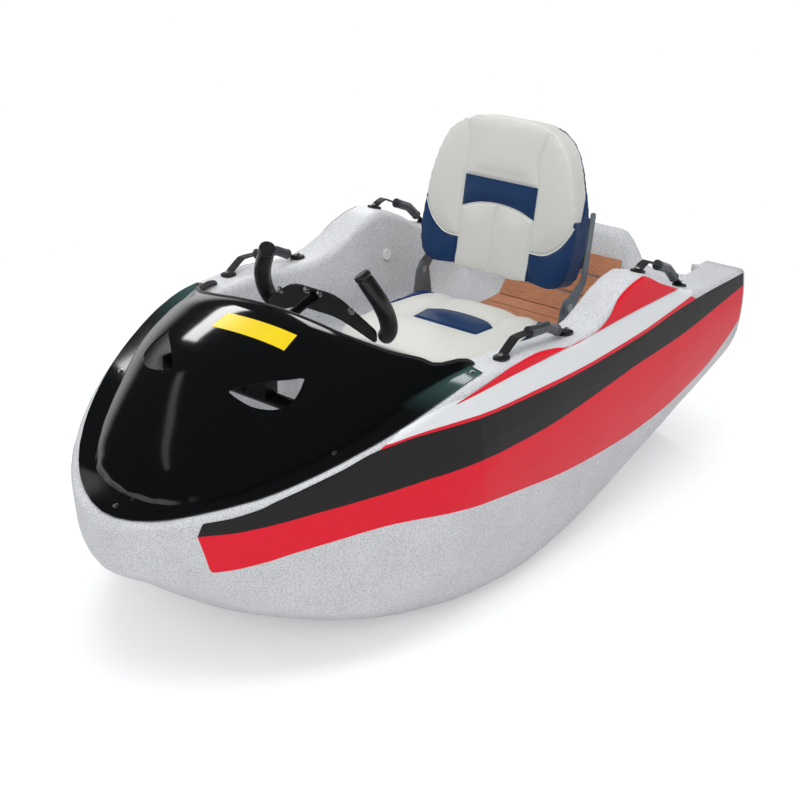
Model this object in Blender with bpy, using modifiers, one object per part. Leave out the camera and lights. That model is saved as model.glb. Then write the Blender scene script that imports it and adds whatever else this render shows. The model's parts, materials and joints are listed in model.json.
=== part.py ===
"""Water kart: a one-seat electric boat of rotomoulded polyethylene.

The frame is metres, +X towards the bow, +Y to port, +Z up.
The origin is on the floor under the middle of the hull's box.
"""
import math

import bmesh
import bpy
import numpy as np
from mathutils import Matrix, Vector

# Hull: the three driving sizes, and the shares of them in the tables below
LENGTH = 1.89
BEAM = 1.03
RAIL_HEIGHT = 0.60
HALF_BEAM = BEAM / 2
BOW = LENGTH / 2
STERN = -LENGTH / 2
FIT_GAP = 0.0003

# Plan outline of the bow: the beam shrinks by a superellipse ahead of this place.
# Each line along the hull has its own power and bluntness
BOW_START = BOW - 0.674
SIDE_CURVE = (1.70, 0.595)
CHINE_CURVE = (2.65, 0.59)
RAIL_CURVE = (1.75, 0.55)
RAIL_ROUND = 0.015

# Hull rows. x in shares of the length, widths in shares of the half beam,
# heights in shares of the rail height.
# x, keel z, flat half width, chine half width, chine z, side half width, side z, rail half width, rail z
HULL_ROWS = (
    (-0.500, 0.000, 0.540, 0.945, 0.530, 0.970, 0.740, 0.955, 0.892),
    (-0.404, 0.000, 0.545, 0.946, 0.427, 0.975, 0.710, 0.950, 0.892),
    (-0.362, 0.000, 0.548, 0.944, 0.384, 0.980, 0.690, 0.947, 0.908),
    (-0.309, 0.000, 0.550, 0.944, 0.323, 0.985, 0.670, 0.935, 0.967),
    (-0.257, 0.000, 0.555, 0.937, 0.265, 0.990, 0.650, 0.922, 1.058),
    (-0.214, 0.000, 0.560, 0.930, 0.209, 0.993, 0.630, 0.917, 1.097),
    (-0.177, 0.000, 0.565, 0.923, 0.162, 0.995, 0.610, 0.917, 1.075),
    (-0.134, 0.000, 0.570, 0.915, 0.113, 0.998, 0.600, 0.922, 1.017),
    (-0.087, 0.000, 0.575, 0.912, 0.073, 1.000, 0.590, 0.930, 0.970),
    (-0.066, 0.000, 0.580, 0.910, 0.058, 1.000, 0.585, 0.932, 0.967),
    (-0.018, 0.000, 0.583, 0.909, 0.037, 1.000, 0.580, 0.932, 0.978),
    (0.034, 0.000, 0.583, 0.908, 0.027, 1.000, 0.575, 0.922, 1.000),
    (0.124, 0.000, 0.575, 0.881, 0.041, 1.000, 0.570, 0.905, 1.003),
    (0.193, 0.005, 0.550, 0.840, 0.080, 0.991, 0.455, 0.888, 0.963),
    (0.246, 0.020, 0.500, 0.807, 0.120, 0.981, 0.327, 0.888, 0.910),
    (0.299, 0.060, 0.430, 0.777, 0.167, 0.976, 0.271, 0.888, 0.856),
    (0.352, 0.122, 0.350, 0.748, 0.225, 0.975, 0.293, 0.888, 0.796),
    (0.405, 0.212, 0.270, 0.731, 0.297, 0.980, 0.399, 0.888, 0.736),
    (0.447, 0.318, 0.220, 0.713, 0.379, 0.977, 0.545, 0.888, 0.697),
    (0.468, 0.369, 0.220, 0.724, 0.430, 0.981, 0.627, 0.888, 0.664),
    (0.483, 0.399, 0.230, 0.744, 0.464, 0.985, 0.618, 0.888, 0.648),
    (0.492, 0.422, 0.250, 0.765, 0.474, 0.988, 0.606, 0.888, 0.636),
    (0.498, 0.446, 0.270, 0.785, 0.479, 0.979, 0.590, 0.888, 0.620),
    (0.500, 0.468, 0.300, 0.795, 0.488, 0.970, 0.570, 0.888, 0.600),
)

# Cockpit: the heights of its floors and the places of its walls, from the stern and the bow
FOOTWELL_FLOOR = 0.085
BENCH_Z = FOOTWELL_FLOOR + 0.275
TRANSOM_BACK = STERN + 0.065
TRANSOM_THICKNESS = 0.050
TRANSOM_FRONT = TRANSOM_BACK + TRANSOM_THICKNESS
TRANSOM_TOP_Z = RAIL_HEIGHT
TRANSOM_CREST_HALF = 0.165
TRANSOM_VALLEY_Z = TRANSOM_TOP_Z - 0.100
PAD_TOP_Z = TRANSOM_TOP_Z - 0.075
BENCH_BACK = TRANSOM_FRONT + 0.080
BENCH_FRONT = STERN + 0.930
FOOTWELL_FRONT = BOW - 0.225

# Stern notch between the two tail boxes, and the tunnel for the drive
NOTCH_HALF = 0.378
TUNNEL_HALF = 0.130
TUNNEL_FRONT = TRANSOM_BACK + 0.160
TUNNEL_TOP = BENCH_Z - 0.075
NOTCH_ROUND = 0.020

# Hood: a smoked dome with a flat flange on the deck. Places are counted back
# from the bow. The crown's rows are place, rise above the deck; the base's rows are
# place, half width; the rear edge's rows are half width, place
HOOD_THICKNESS = 0.003
HOOD_FLANGE_MARGIN = 0.007
HOOD_FLANGE_NOSE = BOW - 0.021
HOOD_FLANGE_CURVE = (1.75, 0.55)
HOOD_NOSE = BOW - 0.077
HOOD_SECTION_POWER = 2.1
HOOD_CROWN_ROWS = (
    (-0.745, 0.129), (-0.625, 0.133), (-0.538, 0.136), (-0.425, 0.134), (-0.325, 0.121), (-0.250, 0.102),
    (-0.190, 0.078), (-0.140, 0.051), (-0.105, 0.028), (-0.085, 0.009), (-0.077, 0.000),
)
HOOD_BASE_ROWS = (
    (-0.825, 0.412), (-0.725, 0.410), (-0.615, 0.389), (-0.555, 0.373), (-0.495, 0.361), (-0.435, 0.349),
    (-0.385, 0.332), (-0.325, 0.303), (-0.275, 0.274), (-0.225, 0.245), (-0.169, 0.205), (-0.120, 0.153),
    (-0.090, 0.096), (-0.080, 0.050), (-0.077, 0.020),
)
HOOD_REAR_ROWS = (
    (0.000, -0.538), (0.137, -0.539), (0.181, -0.541), (0.250, -0.559), (0.300, -0.581),
    (0.350, -0.619), (0.380, -0.645), (0.408, -0.730), (0.440, -0.737), (0.500, -0.725),
)
# One eye opening in plan: place, half width
EYE_OUTLINE = (
    (-0.300, 0.085), (-0.296, 0.122), (-0.298, 0.162), (-0.312, 0.198), (-0.330, 0.219), (-0.349, 0.228),
    (-0.372, 0.227), (-0.391, 0.221), (-0.403, 0.213), (-0.384, 0.190), (-0.352, 0.148), (-0.320, 0.108),
)
TRIM_RADIUS = 0.005

# Steering: the yoke's centre, the column's slope and the turn each way
YOKE_X = BOW - 0.675
YOKE_Z = RAIL_HEIGHT + 0.090
COLUMN_SLOPE = math.radians(17.0)
YOKE_TURN = 60.0
YOKE_PLATE = 0.006
YOKE_BAR = 0.052
GRIP_RADIUS = 0.019
GRIP_BAR = 0.011
SHAFT_RADIUS = 0.011
SHAFT_LENGTH = 0.215
HOUSING = (0.090, 0.110, 0.080)
BEAM_RADIUS = 0.018
BEAM_Z = RAIL_HEIGHT - 0.100
BEAM_PLATE = (0.060, 0.006, 0.050)

# Folding seat: hinge bolts, cushion, back and their steel
HINGE_X = STERN + 0.510
HINGE_Y = 0.245
HINGE_Z = BENCH_Z + 0.150
RECLINE = math.radians(10.6)
SEAT_BASE_THICK = 0.012
CUSHION_FRONT = HINGE_X + 0.440
CUSHION_BACK = HINGE_X + 0.020
CUSHION_HALF = 0.235
CUSHION_TOP = BENCH_Z + 0.114
CUSHION_ROUND = 0.028
BACK_LOW = 0.035
BACK_HIGH = 0.464
BACK_HALF = 0.265
BACK_FRONT = 0.034
BACK_REAR = -0.044
BRACKET_PLATE = 0.004
PIN_RADIUS = 0.006

# Grab handles: x of the two anchors, on the middle of the rail, and the shares
# of the strap between which its hard sleeve lies
HANDLE_ROWS = (
    ("front", BOW - 0.810, BOW - 1.071, 0.42, 0.82),
    ("rear", STERN + 0.495, STERN + 0.265, 0.46, 0.84),
)
HANDLE_LIFT = 0.031
STRAP_HALF = 0.0125
STRAP_THICK = 0.004
ANCHOR_RADIUS = 0.019
ANCHOR_THICK = 0.007
SLEEVE_RADIUS = 0.012

# Deck foam: strips across the bench behind the seat, and up the sloping wall
PAD_HALF = 0.180
PAD_THICK = 0.008
PAD_GAP = 0.006

# Thruster: steering pivot behind the transom, pod and propeller
PIVOT_X = TRANSOM_BACK - 0.026
PLATE_TOP = TRANSOM_TOP_Z - 0.120
PLATE_HEIGHT = 0.170
PLATE_HALF = 0.055
LUG_HALF = 0.024
LUG_HEIGHT = 0.022
POD_Z = 0.115
POD_RADIUS = 0.036
POD_FRONT = 0.130
POD_BACK = 0.012
LEG_RADIUS = 0.012
PROPELLER_RADIUS = 0.080
PROPELLER_HUB = 0.018
PROPELLER_LENGTH = 0.018
PROPELLER_SHAFT = 0.005
PROPELLER_GAP = 0.002
GUARD_GAP = 0.008
GUARD_THICK = 0.005
GUARD_WIDTH = 0.022
SLEEVE_WIDTH = 0.014
THRUSTER_TURN = 35.0

# Wall plugs: x and z of the two on each side
PLUG_ROWS = (
    (HINGE_X + 0.015, RAIL_HEIGHT - 0.070),
    (HINGE_X + 0.315, RAIL_HEIGHT - 0.130),
)
PLUG_RADIUS = 0.016
PLUG_THICK = 0.004

COLLECTION = "water_kart"


def clear_scene():
    for old in list(bpy.data.objects):
        bpy.data.objects.remove(old, do_unlink=True)


clear_scene()
PARTS = bpy.data.collections.new(COLLECTION)
bpy.context.scene.collection.children.link(PARTS)
TOOLS = bpy.data.collections.new("cutters")
bpy.context.scene.collection.children.link(TOOLS)


def finish(name, colour, roughness, metallic=0.0):
    material = bpy.data.materials.new(name)
    material.use_nodes = True
    shader = material.node_tree.nodes["Principled BSDF"]
    shader.inputs["Base Color"].default_value = (*colour, 1.0)
    shader.inputs["Roughness"].default_value = roughness
    shader.inputs["Metallic"].default_value = metallic
    return material


GREY_PE = finish("granite_grey_polyethylene", (0.52, 0.53, 0.54), 0.55)
SMOKED = finish("smoked_polycarbonate", (0.01, 0.012, 0.014), 0.08)
BLACK_FOAM = finish("black_foam_grip", (0.012, 0.012, 0.013), 0.7)
BLACK_STEEL = finish("black_powder_coat", (0.010, 0.010, 0.011), 0.35)
GREY_STEEL = finish("grey_painted_steel", (0.16, 0.18, 0.19), 0.4, 0.5)
WHITE_VINYL = finish("white_vinyl", (0.70, 0.69, 0.65), 0.5)
BLUE_VINYL = finish("blue_vinyl", (0.02, 0.07, 0.22), 0.5)
BROWN_PAD = finish("brown_deck_foam", (0.42, 0.18, 0.08), 0.8)
BLACK_NYLON = finish("black_nylon", (0.015, 0.015, 0.016), 0.5)
WHITE_PLUG = finish("white_plug", (0.75, 0.75, 0.74), 0.5)
STEEL = finish("stainless_steel", (0.6, 0.6, 0.6), 0.25, 1.0)


def add(name, mesh, material, tool=False):
    made = bpy.data.objects.new(name, mesh)
    (TOOLS if tool else PARTS).objects.link(made)
    if tool:
        made.hide_render = True
        made.display_type = "WIRE"
    else:
        mesh.materials.append(material)
    return made


def from_bmesh(name, bm, material, smooth=30.0, tool=False):
    bmesh.ops.recalc_face_normals(bm, faces=bm.faces)
    mesh = bpy.data.meshes.new(name)
    bm.to_mesh(mesh)
    bm.free()
    mesh.shade_smooth()
    mesh.set_sharp_from_angle(angle=math.radians(smooth))
    return add(name, mesh, material, tool)


def box_mesh(bm, low, high):
    size = [b - a for a, b in zip(low, high)]
    middle = [(a + b) / 2 for a, b in zip(low, high)]
    made = bmesh.ops.create_cube(bm, size=1.0)
    bmesh.ops.scale(bm, vec=size, verts=made["verts"])
    bmesh.ops.translate(bm, vec=middle, verts=made["verts"])
    return made["verts"]


def box(name, low, high, material, round_edge=0.0, tool=False):
    bm = bmesh.new()
    box_mesh(bm, low, high)
    if round_edge:
        bmesh.ops.bevel(bm, geom=bm.edges[:], offset=round_edge, segments=2, affect="EDGES")
    return from_bmesh(name, bm, material, tool=tool)


def rod_mesh(bm, start, end, radius, sides=16, end_radius=None):
    start = Vector(start)
    end = Vector(end)
    way = end - start
    turn = way.to_track_quat("Z", "Y").to_matrix().to_4x4()
    place = Matrix.Translation((start + end) / 2) @ turn
    bmesh.ops.create_cone(bm, cap_ends=True, segments=sides, radius1=radius,
                          radius2=radius if end_radius is None else end_radius,
                          depth=way.length, matrix=place)


def rod(name, start, end, radius, material, sides=16, end_radius=None, tool=False):
    bm = bmesh.new()
    rod_mesh(bm, start, end, radius, sides, end_radius)
    return from_bmesh(name, bm, material, tool=tool)


def turned(name, profile, place, material, sides=24, tool=False):
    """A turned piece: a profile of (radius, height) from the top down, spun about its own Z."""
    mesh = bpy.data.meshes.new(name)
    edges = [(i, i + 1) for i in range(len(profile) - 1)]
    mesh.from_pydata([(radius, 0.0, height) for radius, height in profile], edges, [])
    made = add(name, mesh, material, tool)
    made.matrix_world = place
    spin = made.modifiers.new("spin", "SCREW")
    spin.steps = sides
    spin.render_steps = sides
    spin.use_merge_vertices = True
    spin.merge_threshold = 0.00005
    spin.use_smooth_shade = True
    return made


def tube(name, points, radius, material, sides_level=2, closed=False):
    """A bent bar: a POLY curve with a bevel, made a welded mesh."""
    curve = bpy.data.curves.new(name, "CURVE")
    curve.dimensions = "3D"
    curve.bevel_depth = radius
    curve.bevel_resolution = sides_level
    curve.use_fill_caps = True
    spline = curve.splines.new("POLY")
    spline.points.add(len(points) - 1)
    for point, place in zip(spline.points, points):
        point.co = (*place, 1.0)
    spline.use_cyclic_u = closed
    guide = bpy.data.objects.new(name + "_curve", curve)
    TOOLS.objects.link(guide)
    graph = bpy.context.evaluated_depsgraph_get()
    mesh = bpy.data.meshes.new_from_object(guide.evaluated_get(graph))
    bpy.data.objects.remove(guide, do_unlink=True)
    bm = bmesh.new()
    bm.from_mesh(mesh)
    bmesh.ops.remove_doubles(bm, verts=bm.verts, dist=1e-6)
    bpy.data.meshes.remove(mesh)
    return from_bmesh(name, bm, material)


def prism_mesh(bm, outline, low, high, axis="Z"):
    """A flat outline (pairs) made solid between two places on an axis."""
    def at(pair, level):
        a, b = pair
        return {"X": (level, a, b), "Y": (a, level, b), "Z": (a, b, level)}[axis]
    bottom = [bm.verts.new(at(pair, low)) for pair in outline]
    top = [bm.verts.new(at(pair, high)) for pair in outline]
    bm.faces.new(bottom)
    bm.faces.new(reversed(top))
    for i in range(len(outline)):
        j = (i + 1) % len(outline)
        bm.faces.new((bottom[j], bottom[i], top[i], top[j]))
    return bottom + top


def round_corners(points, closed=True):
    """points: (a, b, cut, steps); each corner becomes a curve that starts `cut` before it."""
    count = len(points)
    out = []
    for i, (a, b, cut, steps) in enumerate(points):
        here = Vector((a, b))
        if not closed and i in (0, count - 1) or cut <= 0:
            out.append(here)
            continue
        before = Vector(points[i - 1][:2])
        after = Vector(points[(i + 1) % count][:2])
        near = here.lerp(before, min(cut / max((before - here).length, 1e-9), 0.45))
        far = here.lerp(after, min(cut / max((after - here).length, 1e-9), 0.45))
        for k in range(steps + 1):
            t = k / steps
            out.append(near * (1 - t) ** 2 + here * 2 * t * (1 - t) + far * t ** 2)
    return out


def apply_cut(target, cutter, operation="DIFFERENCE"):
    modifier = target.modifiers.new(operation.lower(), "BOOLEAN")
    modifier.operation = operation
    modifier.solver = "EXACT"
    modifier.object = cutter


def smooth_column(rows, column, places):
    """Monotone cubic through the rows' column, read at each place."""
    x = np.array([row[0] for row in rows])
    y = np.array([row[column] for row in rows])
    step = np.diff(x)
    slope = np.diff(y) / step
    tangent = np.zeros(len(x))
    tangent[0] = slope[0]
    tangent[-1] = slope[-1]
    for i in range(1, len(x) - 1):
        if slope[i - 1] * slope[i] > 0:
            w1 = 2 * step[i] + step[i - 1]
            w2 = step[i] + 2 * step[i - 1]
            tangent[i] = (w1 + w2) / (w1 / slope[i - 1] + w2 / slope[i])
    out = []
    for place in np.atleast_1d(places):
        k = int(np.clip(np.searchsorted(x, place) - 1, 0, len(x) - 2))
        t = (place - x[k]) / step[k]
        out.append((2 * t**3 - 3 * t**2 + 1) * y[k] + (t**3 - 2 * t**2 + t) * step[k] * tangent[k]
                   + (3 * t**2 - 2 * t**3) * y[k + 1] + (t**3 - t**2) * step[k] * tangent[k + 1])
    return np.array(out)


def bow_share(x, curve, nose=BOW):
    if x <= BOW_START:
        return 1.0
    power, blunt = curve
    reach = min((x - BOW_START) / (nose - BOW_START), 0.9995)
    return (1.0 - reach**power) ** blunt


# x-columns of the hull rows, by name
KEEL_Z, FLAT_HALF, CHINE_HALF, CHINE_Z, SIDE_HALF, SIDE_Z, RAIL_HALF, RAIL_Z = range(1, 9)


def hull(column, x):
    value = float(smooth_column(HULL_ROWS, column, x / LENGTH)[0])
    if column in (KEEL_Z, CHINE_Z, SIDE_Z, RAIL_Z):
        return value * RAIL_HEIGHT
    value *= HALF_BEAM
    curve = {RAIL_HALF: RAIL_CURVE, SIDE_HALF: SIDE_CURVE}.get(column, CHINE_CURVE)
    return value * bow_share(x, curve) + 0.004


def rail_z(x):
    return hull(RAIL_Z, x)


def rail_half(x):
    return hull(RAIL_HALF, x)


# x, opening half width as a share of the rail's, floor half width, floor z, crest z
COCKPIT_ROWS = (
    (TRANSOM_BACK - 0.014, 0.775, 0.360, TRANSOM_VALLEY_Z, TRANSOM_VALLEY_Z),
    (TRANSOM_BACK - 0.006, 0.775, 0.360, TRANSOM_VALLEY_Z, TRANSOM_TOP_Z - 0.016),
    (TRANSOM_BACK + 0.011, 0.775, 0.360, TRANSOM_VALLEY_Z, TRANSOM_TOP_Z),
    (TRANSOM_FRONT - 0.015, 0.775, 0.360, TRANSOM_VALLEY_Z, TRANSOM_TOP_Z),
    (TRANSOM_FRONT, 0.775, 0.358, TRANSOM_VALLEY_Z - 0.010, TRANSOM_TOP_Z - 0.020),
    (TRANSOM_FRONT + 0.012, 0.778, 0.356, PAD_TOP_Z - 0.060, PAD_TOP_Z),
    (BENCH_BACK - 0.015, 0.780, 0.352, BENCH_Z + 0.020, BENCH_Z + 0.045),
    (BENCH_BACK + 0.020, 0.785, 0.350, BENCH_Z, BENCH_Z + 0.004),
    (BENCH_BACK + 0.060, 0.790, 0.350, BENCH_Z, BENCH_Z),
    (BENCH_FRONT - 0.015, 0.795, 0.345, BENCH_Z, BENCH_Z),
    (BENCH_FRONT, 0.795, 0.343, BENCH_Z - 0.015, BENCH_Z - 0.015),
    (BENCH_FRONT + 0.030, 0.795, 0.335, FOOTWELL_FLOOR + 0.020, FOOTWELL_FLOOR + 0.020),
    (BENCH_FRONT + 0.055, 0.795, 0.330, FOOTWELL_FLOOR, FOOTWELL_FLOOR),
    (FOOTWELL_FRONT - 0.400, 0.775, 0.290, FOOTWELL_FLOOR, FOOTWELL_FLOOR),
    (FOOTWELL_FRONT - 0.200, 0.735, 0.230, FOOTWELL_FLOOR + 0.025, FOOTWELL_FLOOR + 0.025),
    (FOOTWELL_FRONT - 0.100, 0.700, 0.170, FOOTWELL_FLOOR + 0.080, FOOTWELL_FLOOR + 0.080),
    (FOOTWELL_FRONT - 0.030, 0.640, 0.120, FOOTWELL_FLOOR + 0.160, FOOTWELL_FLOOR + 0.160),
    (FOOTWELL_FRONT, 0.600, 0.100, FOOTWELL_FLOOR + 0.300, FOOTWELL_FLOOR + 0.300),
)

def cockpit(column, x):
    return float(smooth_column(COCKPIT_ROWS, column, x)[0])


def hull_ring(x):
    """The hull's half section at x, from the keel out, over the rail and in to the middle."""
    top = rail_z(x)
    rail = rail_half(x)
    chine = min(hull(CHINE_HALF, x), hull(SIDE_HALF, x))
    flat = min(hull(FLAT_HALF, x), chine * 0.8)
    inside = COCKPIT_ROWS[0][0] <= x <= FOOTWELL_FRONT
    if inside:
        opening = cockpit(1, x) * rail
        floor_half = min(cockpit(2, x), opening - 0.004)
        floor = cockpit(3, x)
        crest = cockpit(4, x)
        crest_half = min(TRANSOM_CREST_HALF, 0.5 * floor_half)
    else:
        opening = 0.72 * rail
        floor_half = 0.60 * rail
        floor = top if x > 0 else TRANSOM_VALLEY_Z
        crest = floor
        crest_half = 0.25 * rail
    corners = (
        (0.0, hull(KEEL_Z, x), 0.0, 0),
        (flat, hull(KEEL_Z, x), 0.060, 4),
        (chine, hull(CHINE_Z, x), 0.070, 5),
        (hull(SIDE_HALF, x), hull(SIDE_Z, x), 0.140, 4),
        (rail, top, RAIL_ROUND, 4),
        (opening, top, 0.022, 4),
        (floor_half, floor, 0.060, 4),
        (min(crest_half + 0.055, floor_half * 0.9), floor + 0.03 * (crest - floor), 0.020, 2),
        (crest_half, crest, 0.022, 2),
        (0.0, crest, 0.0, 0),
    )
    return round_corners(corners, closed=False)


def hull_places():
    """Station places: even along the hull, close at the nose, and at each cockpit row."""
    even = [STERN + LENGTH * 0.955 * i / 34 for i in range(35)]
    nose_span = BOW - even[-1]
    nose = [even[-1] + nose_span * math.sin(math.pi / 2 * i / 7) for i in range(1, 8)]
    rows = [row[0] for row in COCKPIT_ROWS]
    walls = [FOOTWELL_FRONT + 0.004, TRANSOM_BACK - 0.018]
    places = sorted(even + nose + rows + walls)
    kept = [places[0]]
    fixed = set(rows + walls)
    for place in places[1:]:
        if place - kept[-1] < 0.011 and place not in fixed:
            continue
        if place - kept[-1] < 0.011 and kept[-1] not in fixed and len(kept) > 1:
            kept[-1] = place
            continue
        kept.append(place)
    kept[-1] = BOW
    return kept


def build_hull():
    bm = bmesh.new()
    rings = []
    for x in hull_places():
        half = hull_ring(x)
        port = [bm.verts.new((x, y, z)) for y, z in half]
        starboard = [bm.verts.new((x, -y, z)) for y, z in half[1:-1]]
        rings.append(port + starboard[::-1])
    count = len(rings[0])
    for a, b in zip(rings, rings[1:]):
        for i in range(count):
            j = (i + 1) % count
            bm.faces.new((a[i], a[j], b[j], b[i]))
    bm.faces.new(rings[0])
    bm.faces.new(rings[-1][::-1])
    body = from_bmesh("hull", bm, GREY_PE, smooth=35.0)
    notch = box("stern_notch", (STERN - 0.05, -NOTCH_HALF, -0.05),
                (TRANSOM_BACK, NOTCH_HALF, RAIL_HEIGHT + 0.2), None, NOTCH_ROUND, tool=True)
    apply_cut(body, notch)
    tunnel = box("drive_tunnel", (STERN - 0.06, -TUNNEL_HALF, -0.05),
                 (TUNNEL_FRONT, TUNNEL_HALF, TUNNEL_TOP), None, 0.03, tool=True)
    apply_cut(body, tunnel)
    return body


def wall_y(x, z):
    """Half width of the cockpit's inner wall at a height between its round edges."""
    top = rail_z(x)
    opening = cockpit(1, x) * rail_half(x)
    floor_half = min(cockpit(2, x), opening - 0.004)
    floor = cockpit(3, x)
    return opening + (floor_half - opening) * (top - z) / (top - floor)


def hood_base(x):
    return float(smooth_column(HOOD_BASE_ROWS, 1, np.clip(x - BOW, HOOD_BASE_ROWS[0][0], HOOD_NOSE - BOW))[0])


def hood_z(x, y):
    """Height of the dome's outer skin over a place on the deck."""
    slope = (rail_z(x + 0.004) - rail_z(x - 0.004)) / 0.008
    deck = rail_z(x) + FIT_GAP + HOOD_THICKNESS * math.hypot(1.0, slope) ** 1.5
    base = hood_base(x)
    if x >= HOOD_NOSE or abs(y) >= base:
        return deck
    rise = float(smooth_column(HOOD_CROWN_ROWS, 1, x - BOW)[0])
    share = max(0.0, 1 - (abs(y) / base) ** HOOD_SECTION_POWER) ** (1 / HOOD_SECTION_POWER)
    return deck + rise * share


def flange_edge(x):
    edge = HALF_BEAM * HULL_ROWS[-1][RAIL_HALF] * bow_share(x, HOOD_FLANGE_CURVE, HOOD_FLANGE_NOSE)
    return min(rail_half(x) - HOOD_FLANGE_MARGIN, edge - 0.003)


def hood_rear(y):
    return BOW + float(smooth_column(HOOD_REAR_ROWS, 1, abs(y))[0])


def build_hood():
    """One sheet over dome and flange, thickened inwards, then cut at its rear edge and eyes."""
    rear = BOW + min(row[1] for row in HOOD_REAR_ROWS) - 0.03
    nose = [HOOD_NOSE - d for d in (0.0, 0.010, 0.028)]
    tip = HOOD_FLANGE_NOSE - 0.0015
    places = [x for x in hull_places() if rear < x < tip - 0.001 and min(abs(x - n) for n in nose) > 0.001]
    places = sorted(places + nose + [tip])
    dome_steps = 14
    bm = bmesh.new()
    rings = []
    for x in places:
        edge = flange_edge(x)
        base = min(max(hood_base(x), 0.30 * edge), 0.96 * edge)
        half = [(0.5 * (base + edge)), edge]
        half = [base * math.sin(math.pi / 2 * i / dome_steps) for i in range(1, dome_steps + 1)] + half
        widths = [-y for y in half[::-1]] + [0.0] + half
        rings.append([bm.verts.new((x, y, hood_z(x, y))) for y in widths])
    for a, b in zip(rings, rings[1:]):
        for i in range(len(a) - 1):
            bm.faces.new((a[i], b[i], b[i + 1], a[i + 1]))
    bmesh.ops.recalc_face_normals(bm, faces=bm.faces)
    mesh = bpy.data.meshes.new("hood")
    bm.to_mesh(mesh)
    bm.free()
    if sum(f.normal.z for f in mesh.polygons) < 0:
        mesh.flip_normals()
    mesh.shade_smooth()
    hood = add("hood", mesh, SMOKED)
    wall = hood.modifiers.new("wall", "SOLIDIFY")
    wall.thickness = HOOD_THICKNESS
    wall.offset = -1.0
    rear_cut = bmesh.new()
    steps = [0.5 * i / 30 for i in range(31)]
    edge = [(hood_rear(y), y) for y in steps]
    outline = [(x, -y) for x, y in edge[::-1]] + edge[1:]
    outline += [(rear - 0.05, 0.5), (rear - 0.05, -0.5)]
    prism_mesh(rear_cut, outline, RAIL_HEIGHT - 0.3, RAIL_HEIGHT + 0.3)
    apply_cut(hood, from_bmesh("hood_rear_cut", rear_cut, None, tool=True))
    for side in (1, -1):
        eye = bmesh.new()
        outline = [(BOW + x, side * y) for x, y in EYE_OUTLINE]
        prism_mesh(eye, outline, RAIL_HEIGHT - 0.25, RAIL_HEIGHT + 0.2)
        apply_cut(hood, from_bmesh("eye_cut", eye, None, tool=True))
    return hood


def hood_edge(y, back):
    """A place on the dome's rear edge, moved square off it in plan by a distance."""
    x = hood_rear(y)
    lean = (hood_rear(y + 0.002) - hood_rear(y - 0.002)) / 0.004
    long = math.hypot(1.0, lean)
    return (x - back / long, y + back * lean / long, hood_z(x, y) - HOOD_THICKNESS / 2)


def build_hood_trim():
    reach = 0.350
    steps = [-reach + 2 * reach * i / 48 for i in range(49)]
    points = [hood_edge(y, TRIM_RADIUS + 3 * FIT_GAP) for y in steps]
    return tube("hood_edge_trim", points, TRIM_RADIUS, BLACK_NYLON, 1)


COLUMN = Vector((math.cos(COLUMN_SLOPE), 0.0, -math.sin(COLUMN_SLOPE)))
YOKE_UP = Vector((math.sin(COLUMN_SLOPE), 0.0, math.cos(COLUMN_SLOPE)))
YOKE_CENTRE = Vector((YOKE_X, 0.0, YOKE_Z))


def yoke_place(y, up, ahead=0.0):
    return YOKE_CENTRE + Vector((0.0, y, 0.0)) + YOKE_UP * up + COLUMN * ahead


def yoke_frame():
    across = Vector((0.0, 1.0, 0.0))
    turn = Matrix((COLUMN, across, YOKE_UP)).transposed().to_4x4()
    return Matrix.Translation(YOKE_CENTRE) @ turn


# Grip line in the yoke's plane: half width, height
GRIP_LINE = ((0.148, 0.080), (0.166, 0.050), (0.186, 0.014), (0.196, -0.024), (0.192, -0.060), (0.172, -0.086))


def build_steering():
    plate = bmesh.new()
    outline = round_corners([
        (-0.165, -0.090, 0.010, 3), (-0.060, -0.045, 0.03, 3), (0.060, -0.045, 0.03, 3),
        (0.165, -0.090, 0.010, 3), (0.172, -0.055, 0.010, 3), (0.070, YOKE_BAR * 0.35, 0.03, 3),
        (-0.070, YOKE_BAR * 0.35, 0.03, 3), (-0.172, -0.055, 0.010, 3),
    ])
    verts = prism_mesh(plate, outline, 0.0, YOKE_PLATE, axis="X")
    bmesh.ops.transform(plate, matrix=yoke_frame(), verts=verts)
    from_bmesh("steering_yoke", plate, BLACK_STEEL)
    for side, word in ((1, "port"), (-1, "starboard")):
        line = [yoke_place(side * y, up, -GRIP_RADIUS + 0.0018) for y, up in GRIP_LINE]
        tube("steering_grip_" + word, line, GRIP_RADIUS, BLACK_FOAM, 3)
    start = YOKE_CENTRE + COLUMN * (YOKE_PLATE + FIT_GAP)
    rod("steering_shaft", start, start + COLUMN * SHAFT_LENGTH, SHAFT_RADIUS, STEEL)
    centre = start + COLUMN * (SHAFT_LENGTH - HOUSING[0] / 2 + 0.02)
    housing = bmesh.new()
    half = [v / 2 for v in HOUSING]
    verts = box_mesh(housing, [-v for v in half], half)
    bmesh.ops.bevel(housing, geom=housing.edges[:], offset=0.008, segments=2, affect="EDGES")
    turn = yoke_frame()
    turn.translation = centre
    bmesh.ops.transform(housing, matrix=turn, verts=housing.verts)
    body = from_bmesh("column_housing", housing, BLACK_NYLON)
    bore_end = start + COLUMN * (SHAFT_LENGTH + 0.001)
    bore = rod("column_bore", start - COLUMN * 0.01, bore_end, SHAFT_RADIUS + FIT_GAP * 2, None, tool=True)
    apply_cut(body, bore)
    return centre


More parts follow.
